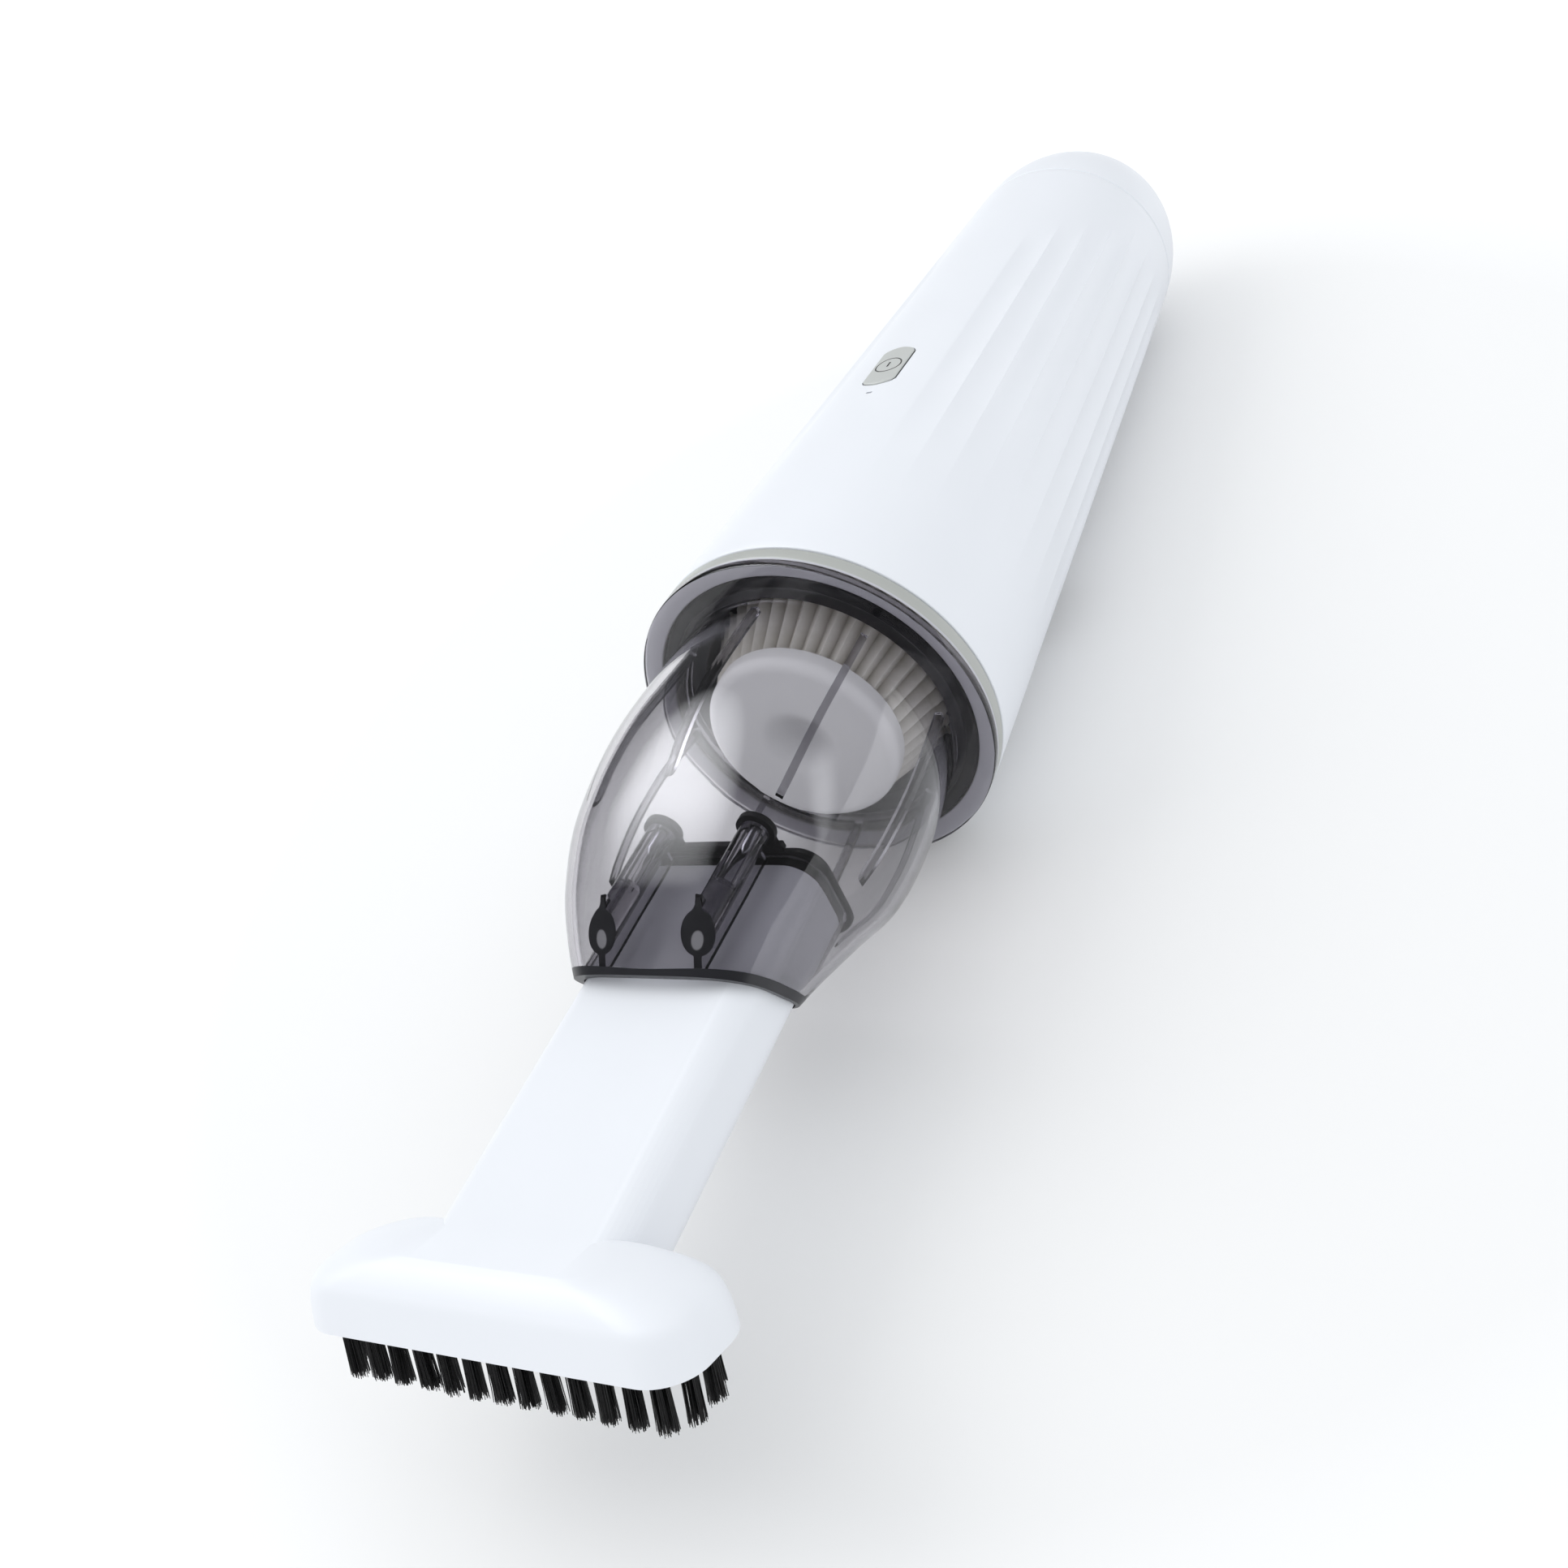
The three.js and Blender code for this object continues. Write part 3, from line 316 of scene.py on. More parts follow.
def shell_outside(number, y):
    turn, dip_share = body_turns[number]
    away = math.degrees(min(turn % (2 * math.pi), -turn % (2 * math.pi)))
    side_share = (min(away, flute_side_degrees) - strip_degrees) / (flute_side_degrees - strip_degrees)
    end = blend_share(flute_end_at_strip, flute_end_at_side, side_share)
    dip = (flute_depth * dip_share * smooth_share(y, flute_start, flute_full)
           * (1 - smooth_share(y, end - flute_run_out, end)))
    return about_axis(body_radius_at(y) - dip - end_round(y, body_front, body_end), turn, y)


def shell_inside(number, y):
    return about_axis(body_radius_at(y) - body_wall, body_turns[number][0], y)


rounding = [edge_round * share for share in (0, 0.15, 0.5)]
body_rings = 72
stations = ([body_front + step for step in rounding]
            + [blend_share(body_front + edge_round, body_end - edge_round, k / body_rings)
               for k in range(body_rings + 1)]
            + [body_end - step for step in reversed(rounding)])
shell = walled(len(body_turns), stations, shell_outside, shell_inside)

# The button's window, the status light's slot and the exhaust slots are cut through the shell.
button_place = 94.5 * mm
button_half_width = 4.65 * mm
button_straight = 8.1 * mm
button_half_length = 10 * mm
button_corner = 0.6 * mm
button_corner_share = 0.86
button_tilt = Matrix.Translation((0, button_place, body_radius_at(button_place))) @ body_tilt


def swept(count, stations, place):
    """A solid: a skin of rings with both its ends closed."""
    bm = bmesh.new()
    for rim in skin(bm, count, stations, place):
        bmesh.ops.contextual_create(bm, geom=rim)
    return bm


def button_outline(margin, steps=14):
    """Two straight sides and two bulged ends with small corners, as (x, y) round the button."""
    half_width = button_half_width + margin
    half_length = button_half_length + margin
    points = []
    for k in range(steps + 1):
        share = 2 * k / steps - 1
        x = -half_width * share
        y = half_length - (half_length - button_straight) * share * share
        past = (abs(share) - button_corner_share) / (1 - button_corner_share)
        y -= button_corner * max(0, past) * past
        points.append((x, y))
    return points + [(-x, -y) for x, y in points]


def drop_beside(x):
    """How far the round shell has dropped at some distance beside the middle of the button."""
    radius = body_radius_at(button_place)
    return radius - math.sqrt(radius ** 2 - x * x)


def button_prism(levels):
    """The outline swept down through levels of (share of its size, margin, depth, curved or not)."""
    def place(number, level):
        share, margin, depth, curved = level
        x, y = (share * value for value in button_outline(margin)[number])
        return button_tilt @ Vector((x, y, -depth - (drop_beside(x) if curved else 0)))
    return swept(len(button_outline(0)), levels, place)


light_place = 80.2 * mm
light_width = 1.4 * mm
light_slot = 0.6 * mm
light_top = body_radius_at(light_place)
window_edge = 0.1 * mm
cutters = [button_prism([(1, gap + window_edge, -overrun, False), (1, gap + window_edge, -gap / 4, True),
                         (1, gap, window_edge, True), (1, gap, 4 * body_wall, False)]),
           block((light_width + gap, light_slot + gap, 4 * body_wall), (0, light_place, light_top))]
for side in (-1, 1):
    for k in range(vent_count):
        y = vent_start + k * vent_pitch
        slot = block((vent_length, vent_width, 4 * body_wall), (0, y, body_radius_at(y)))
        eased(slot, edges_along(slot, 2, body_wall), 0.45 * vent_width, 4)
        turned = Matrix.Rotation(math.radians(side * vent_degrees), 4, "Y")
        bmesh.ops.transform(slot, matrix=turned, verts=slot.verts)
        cutters.append(slot)
shell = fitted(shell, gathered(*cutters), "DIFFERENCE")
finished("moulded_shell", shell, white_plastic, "body", ["body_shell"])

# Tail cap: a rounded end in the same white plastic, pushed into the shell on a spigot. A bay in its
# tip holds the charging socket.
tail_front = body_end + gap
tail_length = 38.3 * mm
tail_spigot = 7 * mm
tail_roundness_power = 2.5
socket_width = 9 * mm
socket_height = 3.2 * mm
socket_depth = 8 * mm
socket_wall = 1.4 * mm
socket_recess = 1.4 * mm
bay_corner = 1.7 * mm
tail_radius = body_radius_at(tail_front)


def spun(outline, steps=96):
    """An outline of (radius, place) pairs turned about the vacuum's axis."""
    bm = bmesh.new()
    verts = [bm.verts.new((radius, y, 0)) for radius, y in outline]
    closing = verts[1:] + verts[:1] if outline[0][0] > 0 else verts[1:]
    edges = [bm.edges.new(pair) for pair in zip(verts, closing)]
    bmesh.ops.spin(bm, geom=verts + edges, cent=(0, 0, 0), axis=(0, 1, 0), angle=2 * math.pi,
                   steps=steps, use_merge=True)
    bmesh.ops.remove_doubles(bm, verts=bm.verts, dist=1e-6)
    return bm


def dome(reach, length, steps=28):
    points = []
    for k in range(steps + 1):
        share = math.sin(math.pi / 2 * k / steps)
        height = max(0, 1 - share ** tail_roundness_power) ** (1 / tail_roundness_power)
        points.append(((reach - body_taper_share * length * share) * height, tail_front + length * share))
    return points


spigot_radius = body_radius_at(body_end) - body_wall - gap
spigot_bore = spigot_radius - 2 * mm
tip_flat = 0.4 * mm
outer = dome(tail_radius, tail_length - tip_flat)
seam_step = 0.3 * mm
outer[0] = (tail_radius - seam_step, tail_front)
outer.insert(1, (tail_radius - 0.02 * mm, tail_front + seam_step))
inner = dome(tail_radius - body_wall, tail_length - tip_flat - body_wall)
inner[0] = (tail_radius - body_wall, tail_front + body_wall)
inner = [point for point in inner if point[1] >= tail_front + body_wall]
cap = spun([*reversed(outer), (spigot_radius, tail_front), (spigot_radius, body_end - tail_spigot),
            (spigot_bore, body_end - tail_spigot), (spigot_bore, tail_front + body_wall), *inner], 144)
tip = tail_front + tail_length
bay_depth = socket_depth + 2 * gap
bay = block((socket_width + 2 * gap + 2 * socket_wall, bay_depth, socket_height + 2 * gap + 2 * socket_wall),
            (0, tip - bay_depth / 2 - socket_recess, 0))
hole = block((socket_width + 2 * gap, 2 * bay_depth, socket_height + 2 * gap), (0, tip - bay_depth / 2, 0))
eased(hole, edges_along(hole, 1, bay_depth), bay_corner, 6)
cap = fitted(fitted(cap, bay, "UNION"), hole, "DIFFERENCE")
finished("tail_dome", cap, white_plastic, "body", ["tail_cap"], 30)

# Charging socket: a flat shell drawn from steel, with a dark plastic tongue pushed into it. It sits
# in the tail's bay, a little below the tip.
steel = plastic("bright_steel", (0.62, 0.63, 0.65), 0.1, 0.24, 0.08, 900, 0.03)
shader = node_of(steel.node_tree, "BSDF_PRINCIPLED")
shader.inputs["Metallic"].default_value = 1.0


def rounded_point(share, half_x, half_z, corner):
    """A point on a rounded rectangle; each quarter spends a third of its points on the corner."""
    quarter = int(share * 4) % 4
    part = share * 4 - int(share * 4)
    if quarter % 2:
        part = 1 - part
    straight_x, straight_z = half_x - corner, half_z - corner
    if part < 1 / 3:
        x, z = straight_x * 3 * part, half_z
    elif part < 2 / 3:
        turn = (3 * part - 1) * math.pi / 2
        x, z = straight_x + corner * math.sin(turn), straight_z + corner * math.cos(turn)
    else:
        x, z = half_x, straight_z * (3 - 3 * part)
    return (x if quarter in (0, 1) else -x), (z if quarter in (0, 3) else -z)


def flat_tube(half_x, half_z, corner, wall, front, back, count=72):
    def around(inset):
        def place(number, y):
            x, z = rounded_point(number / count, half_x - inset, half_z - inset, corner - inset)
            return x, y, z
        return place
    return walled(count, (front, back), around(0), around(wall))


def softened(bm, width, segments=3, angle=40):
    """Every sharp edge gets the small radius that a mould leaves."""
    bmesh.ops.remove_doubles(bm, verts=bm.verts, dist=1e-6)
    edges = [edge for edge in bm.edges if edge.calc_face_angle(0.0) > math.radians(angle)]
    return eased(bm, edges, width, segments)


socket_mouth = tip - 2 * gap
socket_back = socket_mouth - socket_depth
socket_corner = 1.45 * mm
steel_gauge = 0.35 * mm
socket = flat_tube(socket_width / 2, socket_height / 2, socket_corner, steel_gauge, socket_back, socket_mouth)
finished("socket_shell", softened(socket, 0.08 * mm, 2), steel, "body", ["charging_socket"])
dark_plastic = plastic("dark_inner_plastic", (0.035, 0.036, 0.04), 0.1, 0.45, 0.06, 1500, 0.08)
tongue_size = (6.4 * mm, socket_depth - 2 * gap, 0.7 * mm)
backing_size = (8.1 * mm, 0.5 * mm, 2.4 * mm)
tongue = softened(block(tongue_size, (0, socket_mouth - socket_depth / 2, 0)), 0.15 * mm)
tongue = gathered(tongue, block(backing_size, (0, socket_back + gap, 0)))
finished("socket_tongue", tongue, dark_plastic, "body", [])

# Collar ring: a sage grey moulding clipped into the shell's front end, with the seal's seat inside
# it. Its front face, behind the cup's flange, is painted paler: painted light for the band seen through the
# flange.


def tinted(tree, share, one, other):
    return added(tree, "ShaderNodeMix", "Result", {"Factor": share, "A": one, "B": other}, data_type="RGBA")


def own_places(tree, frame_of_piece):
    """Object coordinates turned back into the frame that the piece was drawn in."""
    back_there = frame_of_piece.inverted()
    turned = added(tree, "ShaderNodeMapping", "Vector",
                   {"Vector": node_of(tree, "TEX_COORD").outputs["Object"],
                    "Location": back_there.translation, "Rotation": back_there.to_euler()})
    parts = tree.nodes.new("ShaderNodeSeparateXYZ")
    tree.links.new(turned, parts.inputs["Vector"])
    return parts.outputs["X"], parts.outputs["Y"], parts.outputs["Z"]


def distance(tree, one, other):
    squares = [sums(tree, "MULTIPLY", value, value) for value in (one, other)]
    return sums(tree, "SQRT", sums(tree, "ADD", *squares))


def recoloured(tree, share, colour):
    """Mixes another colour into what already feeds the shader."""
    base = node_of(tree, "BSDF_PRINCIPLED").inputs["Base Color"]
    tree.links.new(tinted(tree, share, base.links[0].from_socket, (*colour, 1)), base)


sage_plastic = plastic("sage_moulding", (0.45, 0.462, 0.44), 0.03, 0.4, 0.05, 2000, 0.08)
flange_thickness = 2.54 * mm
collar_front = flange_thickness + gap
collar_back = 6.9 * mm
collar_bore = 40.2 * mm
collar_spigot_end = 13 * mm
collar_spigot = body_radius_at(collar_spigot_end) - body_wall - gap
collar = spun([(collar_bore, collar_front), (body_radius_at(collar_front) - gap / 2, collar_front),
               (body_radius_at(collar_back) - gap / 2, collar_back), (collar_spigot, collar_back),
               (collar_spigot, collar_spigot_end), (collar_bore, collar_spigot_end)], 192)
tree = sage_plastic.node_tree
x, y, z = own_places(tree, laid_down)
# The front face is painted pale lavender: painted light, so that the band seen through the flange looks lit.
face_painted_light = mapped(tree, y, collar_front + 0.1 * mm, collar_front + 0.35 * mm, 1, 0)
recoloured(tree, face_painted_light, (0.64, 0.64, 0.69))
finished("collar_band", softened(collar, 0.55 * mm, 4), sage_plastic, "body", ["collar_ring"])

# Power button: a sage grey cap with bulged ends, a retaining lip under the shell and a stem down to
# its switch. A ring and a short stroke are engraved in its face.
button_lip = 1.4 * mm
lip_top = body_wall + 0.9 * mm
lip_thickness = 1.1 * mm
face_round = 0.3 * mm
button_proud = 0.34 * mm
face_levels = [(share, -face_round, -button_proud, True) for share in (0.1, 0.3, 0.5, 0.7, 0.85, 1)]
for turn in (math.pi / 8, math.pi / 4, 3 * math.pi / 8, math.pi / 2):
    depth = face_round * (1 - math.cos(turn)) - button_proud
    face_levels.append((1, -face_round * (1 - math.sin(turn)), depth, True))
button = button_prism(face_levels + [(1, 0, lip_top + lip_thickness / 2, False)])
symbol_ring = 3.55 * mm
symbol_width = 0.36 * mm
symbol_depth = 0.3 * mm


def ring(inner, outer, front, back, steps):
    """A ring, or with no inner radius a disc, about the vacuum's axis."""
    return spun([(inner, front), (outer, front), (outer, back), (inner, back)], steps)


def on_button(bm):
    for vert in bm.verts:
        vert.co.z -= drop_beside(vert.co.x)
    bmesh.ops.transform(bm, matrix=button_tilt, verts=bm.verts)
    return bm


ring_cut = ring(symbol_ring - symbol_width / 2, symbol_ring + symbol_width / 2, -symbol_depth,
                symbol_depth, 96)
bmesh.ops.transform(ring_cut, matrix=Matrix.Rotation(math.pi / 2, 4, "X"), verts=ring_cut.verts)
bmesh.ops.translate(ring_cut, vec=(0, 0, button_proud), verts=ring_cut.verts)
stroke_half_width = 0.27 * mm
stroke_half_length = 1.25 * mm
stroke_shift = 0.2 * mm
stroke_cut = block((2 * stroke_half_width, 2 * stroke_half_length, 2 * symbol_depth),
                   (0, stroke_shift, button_proud))
button = fitted(button, gathered(on_button(ring_cut), on_button(stroke_cut)), "DIFFERENCE")
lip = button_prism([(1, button_lip, lip_top, False), (1, button_lip, lip_top + lip_thickness, False)])
button_grey = plastic("button_grey", (0.56, 0.575, 0.56), 0.03, 0.4, 0.05, 2000, 0.08)
tree = button_grey.node_tree
x, y, z = own_places(tree, laid_down @ button_tilt)
# The engraved ring and stroke and the cap's sides below the shell are painted dark: painted shade in the
# grooves and in the gap round the cap.
off_ring = sums(tree, "ABSOLUTE", sums(tree, "SUBTRACT", distance(tree, x, y), symbol_ring))
beside = sums(tree, "SUBTRACT", sums(tree, "ABSOLUTE", x), stroke_half_width)
along = sums(tree, "ABSOLUTE", sums(tree, "SUBTRACT", y, stroke_shift))
off_stroke = sums(tree, "MAXIMUM", beside, sums(tree, "SUBTRACT", along, stroke_half_length))
groove_painted_shade = sums(tree, "MAXIMUM", mapped(tree, off_ring, symbol_width * 0.5, symbol_width * 0.65, 1, 0),
                 mapped(tree, off_stroke, 0, 0.04 * mm, 1, 0))
gap_painted_shade = mapped(tree, z, -0.3 * mm, -0.12 * mm, 1, 0)
groove_shade = 0.75
shaded = sums(tree, "MAXIMUM", sums(tree, "MULTIPLY", groove_painted_shade, groove_shade), gap_painted_shade)
recoloured(tree, shaded, (0.06, 0.06, 0.06))
finished("button_cap", button, button_grey, "button", ["power_button"], 30)
finished("button_lip", lip, sage_plastic, "button", [])
board_depth = 21.2 * mm
board_thickness = 1.6 * mm
switch_height = 3.4 * mm
plunger_height = 1.6 * mm
button_travel = 1 * mm
stem_width = 3 * mm
stem_bottom = (body_radius - board_depth + board_thickness + gap + switch_height + plunger_height
               + button_travel + gap)
stem_top = body_radius_at(button_place) - lip_top - lip_thickness
stem = block((stem_width, stem_width, stem_top - stem_bottom),
             (0, button_place, (stem_top + stem_bottom) / 2))
finished("button_stem", softened(stem, 0.3 * mm), sage_plastic, "button", [])

# Status light: a rod of clear plastic that stands on the circuit board. Its end is level with the
# shell, in a slot in front of the button, and looks grey while it is off.
light_guide = plastic("light_guide", (0.3, 0.3, 0.36), 0.05, 0.2, 0.03, 1800, 0.02)
pipe_bottom = 25.9 * mm
pipe = block((light_width, light_slot, light_top - gap - pipe_bottom),
             (0, light_place, (light_top - gap + pipe_bottom) / 2))
finished("status_light", softened(pipe, 0.12 * mm, 3), light_guide, "body", ["led_light_pipe"])

# Filter: a pleated paper cone between a moulded end cap with a dimple and a flanged base ring. It
# stands in the collar and its gasket seals on the bulkhead.
filter_grey = plastic("filter_cap_grey", (0.93, 0.93, 0.94), 0.03, 0.5, 0.05, 1600, 0.06)
filter_front = -10 * mm
cap_radius = 24 * mm
cap_depth = 5.7 * mm
cap_edge = 3 * mm
dimple_radius = 9.5 * mm
dimple_floor = 3.2 * mm
dimple_depth = 3.6 * mm
dimple_edge = 1.2 * mm
outline = [(0, filter_front + dimple_depth), (dimple_floor * 0.7, filter_front + dimple_depth)]
outline += [(blend_share(dimple_floor, dimple_radius, k / 10),
             filter_front + dimple_depth * (1 - smooth_share(k / 10, -0.15, 1.12))) for k in range(11)]
outline += [(dimple_radius + dimple_edge, filter_front)]
for k in range(9):
    turn = math.pi / 2 * k / 8
    outline.append((cap_radius - cap_edge * (1 - math.sin(turn)),
                    filter_front + cap_edge * (1 - math.cos(turn))))
outline += [(cap_radius, filter_front + cap_depth), (0, filter_front + cap_depth)]
tree = filter_grey.node_tree
x, y, z = own_places(tree, laid_down)
# The dimple is painted darker towards its middle: painted shade in the hollow.
dimple_painted_shade = mapped(tree, distance(tree, x, z), 0.4 * dimple_floor, dimple_radius, 0.55, 0)
recoloured(tree, dimple_painted_shade, (0.42, 0.42, 0.44))
finished("filter_face", spun(outline, 128), filter_grey, "filter", ["filter_cap"], 50)

pleat_count = 42
pleat_depth = 2.6 * mm
pleat_small = 24.1 * mm
pleat_large = 30.2 * mm
pleat_front = filter_front + cap_depth + gap
pleat_back = 12 * mm
pleat_bore = 19 * mm
pleat_wander = 0.12 * mm
pleat_round_shares = (0, 0.035, 0.12, 0.5, 0.88, 0.965)
paper = plastic("filter_paper", (0.5, 0.47, 0.42), 0.08, 0.9, 0.03, 3200, 0.35, 0.06 * mm)
tree = paper.node_tree
x, y, z = own_places(tree, laid_down)
# The paper is painted darker down its folds and paler on its crests, painted shade and light, mottled by
# fibre grain.
fibres = noise(tree, node_of(tree, "TEX_COORD").outputs["Object"], 700, 5, 0.7)
valley = mapped(tree, y, pleat_front, pleat_back, pleat_small - pleat_depth, pleat_large - pleat_depth)
height = sums(tree, "SUBTRACT", distance(tree, x, z), valley)
fold_shade_and_fibres = sums(tree, "MULTIPLY", mapped(tree, height, 0, pleat_depth, 0.1, 1),
            mapped(tree, fibres, 0.3, 0.7, 0.75, 1))
recoloured(tree, fold_shade_and_fibres, (0.88, 0.86, 0.81))


def pleat_outside(number, share):
    fold, part = divmod(number, len(pleat_round_shares))
    across = pleat_round_shares[part]
    turn = 2 * math.pi * (fold + across) / pleat_count
    dip = pleat_depth * (1 - abs(2 * across - 1))
    wander = pleat_wander * abs(math.sin(5.3 * fold + 2.1)) * math.sin(math.pi * share)
    radius = blend_share(pleat_small, pleat_large, share) - pleat_depth + dip - wander
    return about_axis(radius, turn, blend_share(pleat_front, pleat_back, share))


def pleat_inside(number, share):
    turn = 2 * math.pi * number / (pleat_count * len(pleat_round_shares))
    return about_axis(pleat_bore, turn, blend_share(pleat_front, pleat_back, share))


pleats = walled(pleat_count * len(pleat_round_shares), [k / 8 for k in range(9)], pleat_outside, pleat_inside)
finished("pleated_paper", pleats, paper, "filter", ["filter_pleats"], 40)

flange_radius_inner = 39.9 * mm
sleeve_bore = 31 * mm
sleeve_radius = 33 * mm
flange_place = 5.7 * mm
filter_end = 14.8 * mm
lip_bore = 24 * mm
flange_back = flange_place + 2.5 * mm
base = spun([(sleeve_bore, flange_place), (flange_radius_inner, flange_place),
             (flange_radius_inner, flange_back), (sleeve_radius, flange_back), (sleeve_radius, filter_end),
             (lip_bore, filter_end), (lip_bore, pleat_back + gap), (sleeve_bore, pleat_back + gap)], 128)
smoked_ring = plastic("filter_ring_dark", (0.03, 0.03, 0.034), 0.08, 0.35, 0.06, 1500, 0.06)
finished("filter_ring", softened(base, 0.3 * mm), smoked_ring, "filter", ["filter_base"])

# Seals: two rings moulded in black rubber. One lies in the collar behind the cup's root, the other is
# pressed on the filter's rear end.
rubber = plastic("black_rubber", (0.012, 0.012, 0.013), 0.2, 0.5, 0.1, 1300, 0.15, 0.03 * mm)
shader = node_of(rubber.node_tree, "BSDF_PRINCIPLED")
shader.inputs["Specular IOR Level"].default_value = 0.25
seal_front = flange_thickness + gap
seal_bore = 36.9 * mm
seal_thickness = 2.6 * mm
seal = ring(seal_bore, flange_radius_inner, seal_front, seal_front + seal_thickness, 160)
finished("cup_gasket", softened(seal, 0.7 * mm, 4), rubber, "filter", ["cup_seal_ring"])
gasket_front = filter_end + gap
gasket_thickness = 1.7 * mm
gasket = ring(lip_bore, sleeve_radius, gasket_front, gasket_front + gasket_thickness, 128)
finished("filter_gasket", softened(gasket, 0.5 * mm, 3), rubber, "filter", ["filter_seal"])

# Dust cup: a moulding in smoke-clear plastic. It bulges from the round flange that seats on the
# collar, and closes in to a slanted, flat-topped mouth for the nozzle.
cup_root = 35.8 * mm
cup_wall = 2 * mm
cup_seam = -2 * mm
tube_half_width = 22 * mm
tube_half_depth = 10.2 * mm
tube_corner = 6 * mm
tube_drop = 7.4 * mm
tube_top = tube_half_depth - tube_drop
tube_bottom = -tube_half_depth - tube_drop
mouth_place = -86.9 * mm
mouth_tilt = math.tan(math.radians(29))
cup_goals = (tube_half_width + 1.9 * mm, tube_top + 4 * mm, -tube_bottom + 2 * mm)
cup_station_shares = (0, 0.3, 0.55, 0.75, 0.9, 1)
# How far the sides, the top and the underside have closed in at six places along the cup.
cup_narrowing = ((0, -0.186, -0.04, 0.343, 0.734, 1), (0, -0.023, 0.17, 0.49, 0.785, 1),
                 (0, -0.032, 0.153, 0.608, 0.877, 1))
mouth_squareness = 1.7
duct_clearance = 0.4 * mm
duct_end = -52 * mm


def curve_through(values, share):
    """A smooth curve through evenly spaced values."""
    last = len(values) - 1
    k = min(int(share * last), last - 1)
    part = share * last - k
    before, here, there, after = (values[min(max(k + step, 0), last)] for step in (-1, 0, 1, 2))
    lean, next_lean = (there - before) / 2, (after - here) / 2
    return ((2 * here - 2 * there + lean + next_lean) * part ** 3
            + (3 * there - 3 * here - 2 * lean - next_lean) * part ** 2 + lean * part + here)


def mouth_at(z):
    return mouth_place + (tube_top - z) * mouth_tilt


def cup_section(share):
    """How far along the cup a level lies, its half width, top and underside, and how square it is."""
    along = curve_through(cup_station_shares, share)
    side, top, bottom = (cup_root + (goal - cup_root) * curve_through(shares, share)
                         for goal, shares in zip(cup_goals, cup_narrowing))
    return along, side, top, bottom, 2 + mouth_squareness * max(along, 0) ** 2.5


def cup_point(turn, share, inset):
    """A point of the cup's wall, by its turn about the axis, its level and its depth in the wall."""
    along, side, top, bottom, power = cup_section(share)
    half_x, half_z = side - inset, (top + bottom) / 2 - inset
    reach = (abs(math.sin(turn) / half_x) ** power + abs(math.cos(turn) / half_z) ** power) ** (-1 / power)
    x, z = reach * math.sin(turn), (top - bottom) / 2 + reach * math.cos(turn)
    return Vector((x, cup_seam + along * (mouth_at(z) - cup_seam), z))


# The wall has 48 levels down to its rim; level -1 is its start inside the flange.
cup_stations = [-1, *[k / 48 for k in range(49)]]
cup_sides = 144
rim_seam = 0.0005
rim_start = 0.95
rim_rise_at_sides = 0.025
flange_radius = 44.9 * mm


def rim_share(turn):
    """Where the clear wall ends and the black rim of the mouth begins; the rim is taller at the sides."""
    return rim_start - rim_rise_at_sides * math.sin(turn) ** 2


def clear_part(turn, level):
    return max(level, 0) * (rim_share(turn) - rim_seam)


def cup_skin(inset, share_there):
    """One side of the wall; share_there(turn, level) says how far down the cup a ring's points lie."""
    def place(number, level):
        turn = 2 * math.pi * (number + 0.5) / cup_sides
        point = cup_point(turn, share_there(turn, level), inset)
        if level < 0:
            point.y = flange_thickness
        return point
    return place


cup = walled(cup_sides, cup_stations, cup_skin(0, clear_part), cup_skin(cup_wall, clear_part))
flange = ring(cup_root - cup_wall / 2, flange_radius, 0, flange_thickness, 192)
cup = fitted(cup, softened(flange, 0.4 * mm, 3), "UNION")


def plug(half_x, half_z, corner, drop, front, back, count=96):
    """A solid bar with rounded corners, below the vacuum's axis by its drop."""
    def place(number, y):
        x, z = rounded_point(number / count, half_x, half_z, corner)
        return x, y, z - drop
    return swept(count, (front, back), place)


def passage():
    """The space for the nozzle's tube."""
    return plug(tube_half_width + duct_clearance, tube_half_depth + duct_clearance,
                tube_corner + duct_clearance, tube_drop, 2 * mouth_place, duct_end + overrun)


cup = fitted(cup, passage(), "DIFFERENCE")


def smoke(name, density):
    """Clear plastic with a violet-grey dye, darker where it is thick; seen at a slant its tint is painted
    darker, painted shade for the edges.
    """
    material, tree, shader = blank_material(name)
    shader.inputs["Transmission Weight"].default_value = 1.0
    shader.inputs["IOR"].default_value = 1.46
    facing = added(tree, "ShaderNodeLayerWeight", "Facing", {"Blend": 0.35})
    straight, slant_painted_shade = (0.94, 0.935, 0.945, 1), (0.66, 0.66, 0.68, 1)
    tint = tinted(tree, mapped(tree, facing, 0.35, 0.95, 0, 1), straight, slant_painted_shade)
    tree.links.new(tint, shader.inputs["Base Color"])
    waves = noise(tree, added(tree, "ShaderNodeTexCoord", "Object"), 60, 3)
    tree.links.new(mapped(tree, waves, 0.35, 0.7, 0.015, 0.05), shader.inputs["Roughness"])
    dye = added(tree, "ShaderNodeVolumeAbsorption", "Volume",
                {"Color": (0.27, 0.25, 0.3, 1), "Density": density})
    rays = tree.nodes.new("ShaderNodeLightPath")
    daylight = sums(tree, "MAXIMUM", rays.outputs["Is Shadow Ray"], rays.outputs["Is Diffuse Ray"])
    passing = added(tree, "ShaderNodeBsdfTransparent", "BSDF")
    choice = added(tree, "ShaderNodeMixShader", "Shader",
                   {"Fac": daylight, 1: shader.outputs["BSDF"], 2: passing})
    output = node_of(tree, "OUTPUT_MATERIAL")
    tree.links.new(choice, output.inputs["Surface"])
    tree.links.new(dye, output.inputs["Volume"])
    return material


finished("clear_cup", cup, smoke("smoke_clear", 140), "cup", ["dust_cup"], 30)

